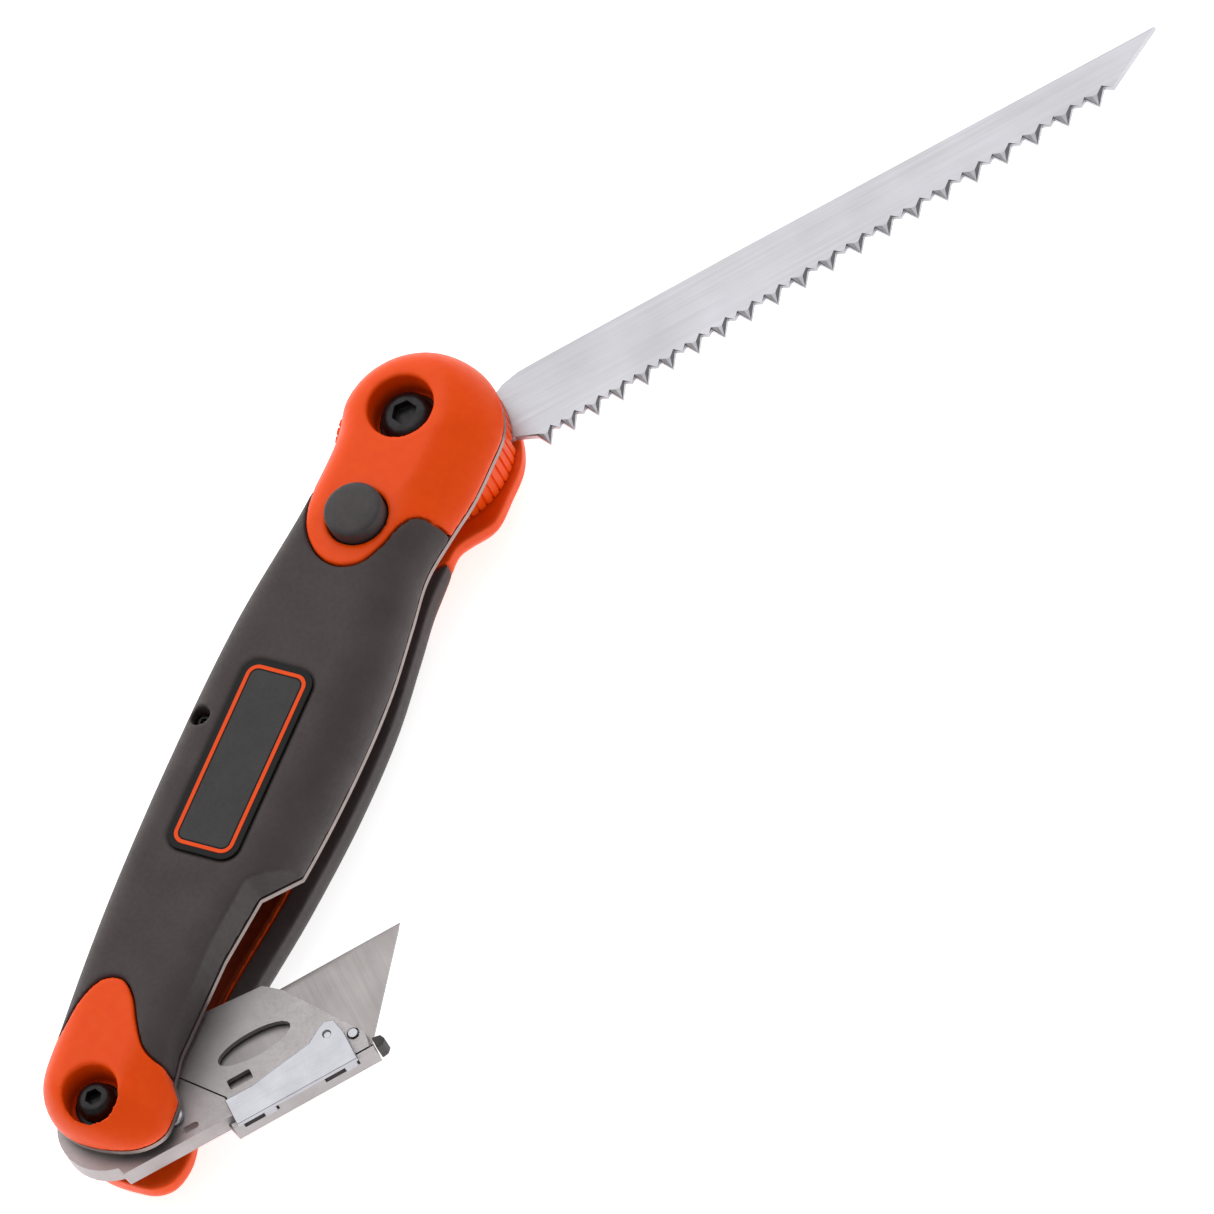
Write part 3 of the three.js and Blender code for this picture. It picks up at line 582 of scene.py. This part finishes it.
def rear_grip():
    pocket = rear_core(0, 0, CORE_TOP + GAP)
    return mirror_half(moulded(grip(LINER_INNER, REAR_SETBACK, pocket), 4))


def front_liner():
    obj = prism("liner", inset_outline(0.2), LINER_INNER, LINER_INNER + LINER_THICKNESS)
    cutters = [
        cylinder(SAW_SHAFT + GAP, 0, 9, SAW_X),
        cylinder(KNIFE_SHAFT + GAP, 0, 9, KNIFE_X),
        cylinder(SCREW_SHAFT + GAP, 0, 9, *SCREW),
        prism("cutter", notch_outline(), 0, 9),
        cylinder(PLUNGER_HOLE, 0, 9, *BUTTON),
        prism("cutter", rounded_box(*LEAF_SLOT, 0.2, LEAF), 0, 9),
    ]
    return bevel(boolean(obj, "DIFFERENCE", *cutters), 0.1, 2, 40)


def back_spacer():
    edge = LINER_INNER - GAP
    band = prism("spacer", inset_outline(0.6), -edge, edge)
    keep = prism("cutter", rectangle(SPACER_ENDS[0], SPACER_EDGE, SPACER_ENDS[1], FAR), -edge, edge)
    band = boolean(band, "INTERSECT", keep)
    return bevel(boolean(band, "DIFFERENCE", cylinder(SCREW_SHAFT + GAP, -9, 9, *SCREW)), 0.2, 3, 40)


# ------------------------------------------------------------------ badge
def badge_outline(inset, corner):
    length, width = BADGE_SIZE
    return rounded_box(length - 2 * inset, width - 2 * inset, corner, BADGE)


def badge_base():
    outline = badge_outline(0, BADGE_CORNER)
    return bevel(prism("badge", outline, HALF - 0.3, HALF + BADGE_RISE), 0.15, 3, 40)


def badge_line():
    outer, inner = BADGE_LINE
    ring = prism("line", badge_outline(outer, 2.1), HALF, HALF + BADGE_LINE_RISE)
    return boolean(ring, "DIFFERENCE", prism("cutter", badge_outline(inner, 1.5), HALF - 1, HALF + 1))


def badge_field():
    outline = badge_outline(BADGE_FIELD, 1.3)
    return bevel(prism("field", outline, HALF, HALF + BADGE_LINE_RISE), 0.08, 2, 40)


# ------------------------------------------------------------------ fasteners and button
def dome(radius, seat, rim, crown):
    """Profile of a button head from its rim to the middle of its crown."""
    flat = radius * 0.55
    points = []
    for i in range(9):
        angle = math.pi / 2 * i / 8
        points.append((lerp(flat, radius, math.cos(angle)), seat + rim + (crown - rim) * math.sin(angle)))
    return points


def pivot_bolt(x, shaft, head):
    """A domed bolt with a hexagon socket, its head on the washer in the recess."""
    seat = RECESS_FLOOR + 2 * GAP + WASHER_THICKNESS
    tip = -BOLT_END
    profile = [(0, tip), (shaft - 0.3, tip), (shaft, tip + 0.3), (shaft, seat), (head - 0.15, seat)]
    profile += [(head, seat + 0.15)] + dome(head, seat, 0.8, 2.6) + [(0, seat + 2.6)]
    bolt = lathe("bolt", profile, x, 0)
    socket = [polar(x, 0, shaft * 0.74, 12 + 60 * i) for i in range(6)]
    bolt = boolean(bolt, "DIFFERENCE", prism("cutter", socket, seat + 0.9, HALF))
    return bevel(bolt, 0.12, 2, 32)


def pivot_washer(x, shaft, outer):
    bottom = RECESS_FLOOR + GAP
    ring = chamfered_ring("washer", shaft + GAP, outer, bottom, bottom + WASHER_THICKNESS, x)
    return bevel(ring, 0.05, 1, 40)


def body_screw():
    seat = CORE_TOP + GAP
    tip = -seat - 1.4
    profile = [(0, tip), (SCREW_SHAFT, tip), (SCREW_SHAFT, seat), (SCREW_HEAD, seat)]
    profile += dome(SCREW_HEAD, seat, 0.5, 1.2) + [(0, seat + 1.2)]
    screw = lathe("screw", profile, *SCREW, sides=40)
    socket = [polar(*SCREW, 0.7, 60 * i) for i in range(6)]
    return bevel(boolean(screw, "DIFFERENCE", prism("cutter", socket, seat + 0.5, HALF)), 0.06, 2, 32)


def lock_button():
    """A round button whose rim runs over into a nearly flat face."""
    face = BUTTON_FACE
    r = BUTTON_RADIUS
    profile = [(0, 10.5), (r, 10.5), (r, face - 0.95), (r - 0.06, face - 0.72), (r - 0.22, face - 0.5)]
    profile += [(r - 0.5, face - 0.32), (r - 1.1, face - 0.17), (r - 2.2, face - 0.05), (r - 3.6, face)]
    return smooth_by_angle(lathe("button", profile + [(0, face)], *BUTTON), 50)


def smooth_by_angle(obj, degrees):
    shade_smooth(obj)
    limit = math.radians(degrees)
    bm = bmesh.new()
    bm.from_mesh(obj.data)
    for edge in bm.edges:
        edge.smooth = edge.calc_face_angle(0) < limit
    bm.to_mesh(obj.data)
    bm.free()
    return obj


# ------------------------------------------------------------------ saw
TEETH = 21
TOOTH_START = 18.4
PITCH = (4.55, 6.0)
TOOTH_LINE = (10.0, 3.0)
SAW_REACH = 138.0
BLADE_BACK = 5.3
FACET_DROP = 0.22               # of a ground facet's edge below the flat face
TIP_DROP = 0.6
SMALL_TOOTH_LIFT = 0.6


def tooth_places():
    """(place along the blade, pitch) of every large tooth tip."""
    places = []
    s = TOOTH_START
    for i in range(TEETH):
        pitch = lerp(*PITCH, min(i, TEETH - 2) / (TEETH - 2))
        places.append((s, pitch))
        s += pitch
    return places


def tooth_line(s):
    last = tooth_places()[-1][0]
    return -lerp(*TOOTH_LINE, (s - TOOTH_START) / (last - TOOTH_START))


class BladeMesh:
    """Collects the blade's corners: a front and a rear loop, with walls between them."""

    def __init__(self):
        self.verts, self.faces, self.front, self.rear, self.wall = [], [], [], [], []

    def corner(self, s, n, z):
        self.verts.append((s, n, z))
        return len(self.verts) - 1

    def edge_pair(self, s, n, front_drop=0.0, rear_lift=0.0):
        """A corner of the outline; a dropped or lifted one lies on a ground facet, off the flat face."""
        upper = self.corner(s, n, BLADE_TOP - front_drop)
        lower = self.corner(s, n, BLADE_BOTTOM + rear_lift)
        self.wall.append((upper, lower))
        if not front_drop:
            self.front.append(upper)
        if not rear_lift:
            self.rear.append(lower)
        return upper, lower

    def front_corner(self, s, n):
        corner = self.corner(s, n, BLADE_TOP)
        self.front.append(corner)
        return corner

    def build(self):
        walls = [
            (a[0], a[1], b[1], b[0]) for a, b in zip(self.wall, self.wall[1:] + self.wall[:1])
        ]
        faces = [tuple(self.front), tuple(reversed(self.rear))] + walls + self.faces
        return mesh_object("blade", self.verts, faces)


def add_tooth(mesh, before, s, pitch):
    """A large tooth with three ground facets on its front. Returns the corners that its gullet ends in."""
    line = tooth_line(s)
    gullet = mesh.edge_pair(s - 0.27 * pitch, line + 2.35, FACET_DROP)
    inner_gullet = mesh.front_corner(s - 0.25 * pitch, line + 2.6)
    inner_left = mesh.front_corner(s - 0.05 * pitch, line + 2.0)
    inner_right = mesh.front_corner(s + 0.1 * pitch, line + 1.9)
    inner_end = mesh.front_corner(s + 0.31 * pitch, line + 3.0)
    tip = mesh.edge_pair(s, line, TIP_DROP)
    end = mesh.edge_pair(s + 0.34 * pitch, line + 2.7, FACET_DROP)
    mesh.faces += [
        (before, gullet[0], inner_gullet),
        (inner_gullet, gullet[0], tip[0], inner_left),
        (inner_left, tip[0], inner_right),
        (inner_right, tip[0], end[0], inner_end),
    ]
    return end, inner_end


def add_small_tooth(mesh, end, inner_end, s, pitch):
    """The small tooth between two large ones, ground from behind."""
    small = mesh.edge_pair(s + 0.56 * pitch, tooth_line(s) + 1.7, 0, SMALL_TOOTH_LIFT)
    mesh.faces.append((inner_end, end[0], small[0]))
    return small


def saw_blade():
    """The toothed plate, drawn along +X from its pivot, without its round tang."""
    mesh = BladeMesh()
    mesh.edge_pair(4, -5.2)
    before = mesh.edge_pair(TOOTH_START - 4.7, -5.8)[0]
    places = tooth_places()
    for i, (s, pitch) in enumerate(places):
        end, inner_end = add_tooth(mesh, before, s, pitch)
        if i < TEETH - 1:
            small = add_small_tooth(mesh, end, inner_end, s, pitch)
            next_gullet = len(mesh.verts) + 1     # its rear corner, which the next tooth adds
            mesh.faces.append((end[1], next_gullet, small[1]))
            before = small[0]
    back = [
        (places[-1][0] + 3.4, -1.3), (SAW_REACH, BLADE_BACK), (60, BLADE_BACK + 0.2),
        (24, BLADE_BACK), (19, BLADE_BACK - 0.1), (15.6, BLADE_BACK - 0.9), (13.4, BLADE_BACK - 2.2),
        (4, BLADE_BACK - 3),
    ]
    nose = mesh.edge_pair(*back[0])
    mesh.faces.append((inner_end, end[0], nose[0]))
    for s, n in back[1:]:
        mesh.edge_pair(s, n)
    return mesh.build()


def saw_bores():
    """The pivot bore and the three rivet holes that the blade and the hub share."""
    holes = [cylinder(SAW_SHAFT + GAP, -9, 9)]
    places = [polar(0, 0, RIVET_CIRCLE, angle) for angle in RIVET_ANGLES]
    return holes + [cylinder(RIVET_HOLE, -9, 9, *place) for place in places]


def finished_blade():
    """The blade with its round tang and bores, in its place on the pivot."""
    tang = cylinder(TANG_RADIUS, BLADE_BOTTOM, BLADE_TOP, sides=96)
    blade = boolean(saw_blade(), "UNION", tang)
    return turn(boolean(blade, "DIFFERENCE", *saw_bores()), SAW_X, SAW_REST)


def mark_ground_facets(obj, ground):
    """Gives the slanted faces that lean along the blade the ground finish, with a darker grey that is painted
    shade for facets turned away from the light.
    """
    obj.data.materials.append(ground)
    along = Vector(polar(0, 0, 1, SAW_REST)).to_3d()
    for face in obj.data.polygons:
        slanted = 0.2 < face.normal.z < 0.985
        face.material_index = 1 if slanted and abs(face.normal.dot(along)) > 0.12 else 0


def lock_notches():
    """Notches in the hub's front edge, each facing the lock's lug at one stop."""
    toward_button = 180 - SAW_REST + math.degrees(math.atan2(1.2, 20.8))
    outline = rectangle(HUB_RADIUS - 2, -1.7, HUB_RADIUS + 2, 1.7)
    notches = []
    for stop in HUB_STOPS:
        notch = prism("cutter", outline, 0, 9)
        notch.data.transform(Matrix.Rotation(math.radians(toward_button - stop), 4, "Z"))
        notches.append(notch)
    return notches


def saw_hub():
    """Orange ring round the blade's tang, finely grooved round its edge and notched for the lock."""
    outline = []
    step = 360 / HUB_RIBS
    groove = HUB_RADIUS - HUB_GROOVE
    rib_form = ((0, HUB_RADIUS), (0.35, HUB_RADIUS), (0.7, HUB_RADIUS), (0.78, groove), (0.92, groove))
    for rib in range(HUB_RIBS):
        outline += [polar(0, 0, radius, (rib + share) * step) for share, radius in rib_form]
    hub = prism("hub", outline, SKIRT_BOTTOM, HUB_TOP)
    blade_exit = rectangle(0, BLADE_EXIT, 20, BLADE_BACK + GAP)
    cutters = [cylinder(TANG_RADIUS + GAP, -9, HUB_BOTTOM), prism("cutter", blade_exit, -9, HUB_BOTTOM)]
    cutters += saw_bores() + lock_notches()
    return turn(bevel(boolean(hub, "DIFFERENCE", *cutters), 0.1, 2, 35), SAW_X, SAW_REST)


# ------------------------------------------------------------------ knife
UTILITY_BACK = 19.8
UTILITY_TIP = 56.8
UTILITY_EDGE = 7.4
STUD = (9.6, -5.6)


def utility_blade():
    """Slant-ended blade whose long edge is ground to a wedge."""
    low, high = KNIFE_BLADE_Z
    middle = (low + high) / 2
    outline = [
        (UTILITY_BACK, UTILITY_EDGE - 19), (UTILITY_TIP - 14, UTILITY_EDGE - 19),
        (UTILITY_TIP, UTILITY_EDGE), (UTILITY_BACK, UTILITY_EDGE),
    ]
    obj = prism("utility", outline, low, high)
    past = UTILITY_EDGE + 0.2
    for side in (1, -1):
        section = [
            (past, middle + side * 0.03), (UTILITY_EDGE - 1.5, middle + side * 0.36),
            (past, middle + side * 2),
        ]
        rings = [[(x, y, z) for y, z in section] for x in (10, 70)]
        obj = boolean(obj, "DIFFERENCE", outward(ring_object("cutter", rings)))
    obj = boolean(obj, "DIFFERENCE", cylinder(1.1, -9, 9, 41.8, -8, 32))
    return turn(bevel(obj, 0.04, 1, 50), KNIFE_X, KNIFE_REST)


def outward(obj):
    """Faces turned outward whichever way the rings ran."""
    bm = bmesh.new()
    bm.from_mesh(obj.data)
    bmesh.ops.recalc_face_normals(bm, faces=bm.faces)
    bm.to_mesh(obj.data)
    bm.free()
    return obj


def thumb_stud():
    profile = [(0, 0.6), (1.2, 0.6), (1.2, 2.85), (1.62, 2.85), (1.7, 2.95), (1.7, 3.35)]
    profile += [(1.6, 3.58), (1.3, 3.72), (0.8, 3.79), (0, 3.8)]
    return turn(smooth_by_angle(lathe("stud", profile, *STUD, 48), 40), KNIFE_X, KNIFE_REST)


# ------------------------------------------------------------------ materials
def linear(red, green, blue):
    def channel(value):
        value /= 255
        return value / 12.92 if value <= 0.04045 else ((value + 0.055) / 1.055) ** 2.4

    return (channel(red), channel(green), channel(blue), 1)


class Finish:
    """A Principled material with small helpers for its procedural detail."""

    def __init__(self, name, metallic, specular=0.5):
        self.material = bpy.data.materials.new(name)
        self.material.use_nodes = True
        self.tree = self.material.node_tree
        self.shader = self.tree.nodes["Principled BSDF"]
        self.shader.inputs["Metallic"].default_value = metallic
        self.shader.inputs["Specular IOR Level"].default_value = specular
        self.place = self.tree.nodes.new("ShaderNodeTexCoord").outputs["Object"]

    def node(self, kind):
        return self.tree.nodes.new(kind)

    def link(self, source, target):
        self.tree.links.new(source, target)

    def oriented(self, degrees, stretch):
        """Coordinates turned about Z, then stretched along the turned X."""
        turned = self.node("ShaderNodeMapping")
        turned.inputs["Rotation"].default_value = (0, 0, math.radians(-degrees))
        self.link(self.place, turned.inputs["Vector"])
        scaled = self.node("ShaderNodeMapping")
        scaled.inputs["Scale"].default_value = (1 / stretch, 1, 1)
        self.link(turned.outputs["Vector"], scaled.inputs["Vector"])
        return scaled.outputs["Vector"]

    def noise(self, size_mm, detail=2.0, vector=None, rough=0.5):
        noise = self.node("ShaderNodeTexNoise")
        noise.inputs["Scale"].default_value = 1000 / size_mm
        noise.inputs["Detail"].default_value = detail
        noise.inputs["Roughness"].default_value = rough
        self.link(vector or self.place, noise.inputs["Vector"])
        return noise.outputs["Fac"]

    def spread(self, fac, low, high):
        """Widens a noise's middle range to run from one value to another."""
        mapped = self.node("ShaderNodeMapRange")
        mapped.inputs["From Min"].default_value = 0.3
        mapped.inputs["From Max"].default_value = 0.7
        mapped.inputs["To Min"].default_value = low
        mapped.inputs["To Max"].default_value = high
        self.link(fac, mapped.inputs["Value"])
        return mapped.outputs["Result"]

    def colour(self, fac, first, second):
        """Mottles between two colours, given as red, green and blue from 0 to 255."""
        mix = self.node("ShaderNodeMix")
        mix.data_type = "RGBA"
        mix.inputs["A"].default_value = linear(*first)
        mix.inputs["B"].default_value = linear(*second)
        self.link(self.spread(fac, 0, 1), mix.inputs["Factor"])
        self.link(mix.outputs["Result"], self.shader.inputs["Base Color"])

    def roughness(self, fac, low, high):
        self.link(self.spread(fac, low, high), self.shader.inputs["Roughness"])

    def bump(self, fac, depth_mm):
        bump = self.node("ShaderNodeBump")
        bump.inputs["Distance"].default_value = depth_mm * MM
        self.link(fac, bump.inputs["Height"])
        self.link(bump.outputs["Normal"], self.shader.inputs["Normal"])


def orange_plastic():
    finish = Finish("orange_plastic", 0.0, 0.2)
    finish.colour(finish.noise(1.6, 3), (247, 76, 0), (250, 82, 2))
    finish.roughness(finish.noise(1.2, 3), 0.36, 0.46)
    finish.bump(finish.noise(0.35, 2), 0.012)
    return finish.material


def orange_painted_shade():
    finish = Finish("orange_painted_shade", 0.0, 0.1)
    # darker orange: painted shade for the hollow deep in the blade slot; the higher roughness is the
    # surface's own
    finish.colour(finish.noise(2.2, 3), (124, 48, 20), (138, 55, 24))
    finish.roughness(finish.noise(0.8, 3), 0.65, 0.8)
    finish.bump(finish.noise(0.3, 2), 0.02)
    return finish.material


def grip_rubber():
    finish = Finish("grip_rubber", 0.0, 0.3)
    finish.colour(finish.noise(7, 4), (66, 57, 57), (74, 65, 65))
    finish.roughness(finish.noise(0.8, 3), 0.58, 0.72)
    finish.bump(finish.noise(0.28, 3, rough=0.7), 0.03)
    finish.shader.inputs["Sheen Weight"].default_value = 0.08
    finish.shader.inputs["Sheen Roughness"].default_value = 0.5
    return finish.material


def saw_steel():
    finish = Finish("saw_steel", 1.0)
    lines = finish.oriented(SAW_REST, 60)
    finish.colour(finish.noise(16, 3), (178, 178, 182), (191, 191, 196))
    finish.roughness(finish.noise(0.35, 3, lines), 0.38, 0.5)
    finish.bump(finish.noise(0.18, 2, lines), 0.004)
    finish.shader.inputs["Anisotropic"].default_value = 0.3
    return finish.material


def ground_steel_and_shade():
    finish = Finish("ground_steel_and_shade", 1.0)
    lines = finish.oriented(SAW_REST + 60, 30)
    # darker grey: painted shade for the side facets turned from the light; the ground lines and roughness are
    # the grinding's own
    finish.colour(finish.noise(0.8, 3), (138, 136, 139), (158, 156, 159))
    finish.roughness(finish.noise(0.2, 2, lines), 0.3, 0.45)
    finish.bump(finish.noise(0.12, 2, lines), 0.005)
    return finish.material


def knife_steel():
    finish = Finish("knife_steel", 1.0)
    finish.colour(finish.noise(5, 4), (167, 162, 162), (178, 173, 174))
    finish.roughness(finish.noise(0.4, 3), 0.44, 0.56)
    finish.bump(finish.noise(0.15, 2), 0.008)
    return finish.material


def blade_steel():
    finish = Finish("utility_steel", 1.0)
    lines = finish.oriented(KNIFE_REST + 90, 40)
    finish.colour(finish.noise(7, 3), (148, 143, 142), (160, 155, 154))
    finish.roughness(finish.noise(0.3, 2, lines), 0.36, 0.46)
    finish.bump(finish.noise(0.16, 2, lines), 0.004)
    return finish.material


def bright_steel():
    finish = Finish("bright_steel", 1.0)
    lines = finish.oriented(KNIFE_REST, 25)
    finish.colour(finish.noise(4, 3), (170, 170, 176), (182, 182, 188))
    finish.roughness(finish.noise(0.3, 2, lines), 0.24, 0.36)
    finish.bump(finish.noise(0.2, 2, lines), 0.003)
    return finish.material


def liner_steel():
    finish = Finish("liner_steel", 1.0)
    finish.colour(finish.noise(3, 3), (150, 138, 134), (164, 152, 148))
    finish.roughness(finish.noise(0.3, 2), 0.4, 0.52)
    finish.bump(finish.noise(0.2, 2), 0.003)
    return finish.material


def black_steel():
    finish = Finish("black_steel", 0.6)
    finish.colour(finish.noise(1.2, 4), (26, 24, 26), (42, 40, 42))
    finish.roughness(finish.noise(0.3, 3), 0.26, 0.4)
    finish.bump(finish.noise(0.15, 2), 0.01)
    return finish.material


def dark_plastic():
    finish = Finish("dark_plastic", 0.0, 0.4)
    finish.colour(finish.noise(3, 3), (58, 53, 54), (68, 62, 63))
    finish.roughness(finish.noise(0.5, 3), 0.5, 0.62)
    finish.bump(finish.noise(0.2, 2), 0.02)
    return finish.material


def badge_black():
    finish = Finish("badge_black", 0.0, 0.2)
    finish.colour(finish.noise(3, 3), (10, 9, 9), (15, 14, 14))
    finish.roughness(finish.noise(0.5, 3), 0.4, 0.5)
    finish.bump(finish.noise(0.2, 2), 0.008)
    return finish.material


def badge_gray():
    finish = Finish("badge_gray", 0.0, 0.4)
    finish.colour(finish.noise(3, 3), (38, 35, 35), (45, 42, 42))
    finish.roughness(finish.noise(0.5, 3), 0.42, 0.55)
    finish.bump(finish.noise(0.2, 2), 0.012)
    return finish.material


def nylon():
    finish = Finish("nylon", 0.0, 0.4)
    finish.colour(finish.noise(2, 3), (205, 200, 188), (217, 213, 203))
    finish.roughness(finish.noise(0.5, 3), 0.5, 0.62)
    finish.bump(finish.noise(0.25, 2), 0.01)
    return finish.material


ORANGE = orange_plastic()
RUBBER = grip_rubber()
SAW_STEEL = saw_steel()
GROUND_AND_SHADE = ground_steel_and_shade()
KNIFE_STEEL = knife_steel()
UTILITY_STEEL = blade_steel()
BRIGHT = bright_steel()
BLACK = black_steel()
DARK = dark_plastic()
NYLON = nylon()


# ------------------------------------------------------------------ assembly
def build_handle():
    place(front_shell(), "front_shell_skin", "handle", "orange_plastic", ORANGE, "front_shell")
    place(front_grip(), "front_grip_skin", "handle", "grip_rubber", RUBBER, "front_grip")
    rear = place(rear_shell(), "rear_shell_skin", "handle", "orange_plastic", ORANGE, "rear_shell")
    mark_hollow(rear, orange_painted_shade())
    place(rear_grip(), "rear_grip_skin", "handle", "grip_rubber", RUBBER, "rear_grip")
    place(front_liner(), "liner_plate", "handle", "bright_steel", liner_steel(), "front_liner")
    place(back_spacer(), "spacer_bar", "handle", "orange_plastic", ORANGE, "back_spacer")
    place(badge_base(), "badge_base", "handle", "dark_plastic", badge_black(), "badge_plate")
    place(badge_line(), "badge_line", "handle", "orange_plastic", ORANGE)
    place(badge_field(), "badge_field", "handle", "dark_plastic", badge_gray())


def build_pivot(name, x, shaft, head, washer):
    bolt = pivot_bolt(x, shaft, head)
    place(bolt, f"{name}_bolt", "handle", "black_steel", BLACK, f"{name}_pivot_bolt")
    ring = pivot_washer(x, shaft, washer)
    place(ring, f"{name}_washer", "handle", "black_steel", BLACK, f"{name}_pivot_washer")
    nut = bevel(node_copy(f"{name}_pivot_nut", f"{name}_nut"), 0.18, 2)
    place(nut, f"{name}_nut", "handle", "black_steel", BLACK, f"{name}_pivot_nut")


def build_spring():
    """The lock spring, which shortens toward its lower end as the button goes in."""
    spring = node_copy("lock_spring", "button_spring")
    shade_smooth(spring)
    place(spring, "button_spring", "handle", "bright_steel", BRIGHT, "lock_spring")
    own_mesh(spring)


def build_fasteners():
    build_pivot("saw", SAW_X, SAW_SHAFT, SAW_BOLT_HEAD, SAW_WASHER)
    build_pivot("knife", KNIFE_X, KNIFE_SHAFT, KNIFE_BOLT_HEAD, KNIFE_WASHER)
    place(body_screw(), "grip_screw", "handle", "black_steel", BLACK, "body_screw")
    place(lock_button(), "button_cap", "button", "dark_plastic", DARK, "lock_button")
    build_spring()


def build_saw():
    blade = finished_blade()
    place(blade, "saw_blade_ground", "saw", "blade_steel", SAW_STEEL, "saw_blade")
    mark_ground_facets(blade, GROUND_AND_SHADE)
    place(saw_hub(), "ribbed_hub", "saw", "orange_plastic", ORANGE, "saw_hub")


def build_knife():
    stamped = (
        ("knife_carrier", "knife", "knife_steel", KNIFE_STEEL, 0.16),
        ("knife_cover", "knife", "knife_steel", KNIFE_STEEL, 0.14),
        ("blade_latch", "latch", "bright_steel", BRIGHT, 0.16),
        ("channel_end_cap", "knife", "dark_plastic", DARK, 0.2),
    )
    for node, body, slot, material, width in stamped:
        name = f"{node}_stamping"
        place(bevel(node_copy(node, name), width, 2, 35), name, body, slot, material, node)
    place(utility_blade(), "cutter_blade", "knife", "blade_steel", UTILITY_STEEL, "utility_blade")
    place(thumb_stud(), "stud_turned", "knife", "bright_steel", BRIGHT, "thumb_stud")


def finish_cad_nodes():
    """Small inner pieces keep their CAD shape and take the same finishes."""
    finishes = {
        BRIGHT: ["knife_lock_leaf", "lock_plunger", "cover_pin", "hub_rivet_1", "hub_rivet_2", "hub_rivet_3"],
        BLACK: ["body_nut"],
        NYLON: [
            "saw_front_thrust_washer", "saw_rear_thrust_washer", "knife_front_thrust_washer",
            "knife_rear_bushing",
        ],
    }
    for material, nodes in finishes.items():
        for node in nodes:
            NODES[node].data.materials.clear()
            NODES[node].data.materials.append(material)


# ------------------------------------------------------------------ studio
CAMERA_TARGET = (49.7, -37.2, 2.95)
CAMERA_RIGHT = (0.3864, -0.8760, -0.2886)
CAMERA_UP = (0.8577, 0.2261, 0.4618)
CAMERA_DISTANCE_M = 5.0
CAMERA_LENS = 905
WORLD_LEVEL = 0.42              # of the light on the part; the background itself is white
KEY_PLACE_M = (0.5, 0.62, 0.95)
KEY_TARGET_M = (0.03, -0.02, 0)
KEY_SIZE_M = 2.4
KEY_WATTS = 16
FLOOR_REACH = 3000
FLOOR_THICKNESS = 6
FLOOR_GLOW = 0.75


def add_camera():
    right = Vector(CAMERA_RIGHT)
    up = Vector(CAMERA_UP)
    back = right.cross(up)
    camera = bpy.data.objects.new("camera", bpy.data.cameras.new("camera"))
    camera.data.lens = CAMERA_LENS
    camera.data.sensor_width = 36
    camera.data.clip_start = 0.01
    camera.data.clip_end = 20
    turned = Matrix((right, up, back)).transposed().to_4x4()
    place_m = Vector(CAMERA_TARGET) * MM + back * CAMERA_DISTANCE_M
    camera.matrix_world = Matrix.Translation(place_m) @ turned
    bpy.context.scene.collection.objects.link(camera)
    bpy.context.scene.camera = camera


def add_key_light():
    lamp = bpy.data.lights.new("key", "AREA")
    lamp.shape = "DISK"
    lamp.size = KEY_SIZE_M
    lamp.energy = KEY_WATTS
    obj = bpy.data.objects.new("key", lamp)
    obj.location = KEY_PLACE_M
    obj.rotation_mode = "QUATERNION"
    obj.rotation_quaternion = (Vector(KEY_TARGET_M) - Vector(KEY_PLACE_M)).to_track_quat("-Z", "Y")
    obj.visible_camera = False
    bpy.context.scene.collection.objects.link(obj)


def add_world():
    """An even white light, brighter where the camera sees it directly than on the part."""
    world = bpy.data.worlds.new("studio")
    world.use_nodes = True
    nodes = world.node_tree.nodes
    links = world.node_tree.links
    nodes["Background"].inputs["Color"].default_value = (1, 1, 1, 1)
    seen = nodes.new("ShaderNodeLightPath").outputs["Is Camera Ray"]
    level = nodes.new("ShaderNodeMapRange")
    level.inputs["To Min"].default_value = WORLD_LEVEL
    level.inputs["To Max"].default_value = 1.0
    links.new(seen, level.inputs["Value"])
    links.new(level.outputs["Result"], nodes["Background"].inputs["Strength"])
    bpy.context.scene.world = world


def add_floor():
    outline = rectangle(-FLOOR_REACH, -FLOOR_REACH, FLOOR_REACH, FLOOR_REACH)
    floor = prism("floor", outline, -MID - FLOOR_THICKNESS, -MID)
    finish = Finish("floor_paint", 0.0, 0.2)
    finish.colour(finish.noise(60, 2), (250, 250, 250), (254, 254, 254))
    finish.roughness(finish.noise(20, 2), 0.8, 0.9)
    finish.shader.inputs["Emission Color"].default_value = (1, 1, 1, 1)
    finish.shader.inputs["Emission Strength"].default_value = FLOOR_GLOW
    floor.data.materials.append(finish.material)


def add_studio():
    add_world()
    add_key_light()
    bpy.context.scene.view_settings.view_transform = "Standard"
    add_floor()


build_handle()
build_fasteners()
build_saw()
build_knife()
finish_cad_nodes()
add_camera()
add_studio()
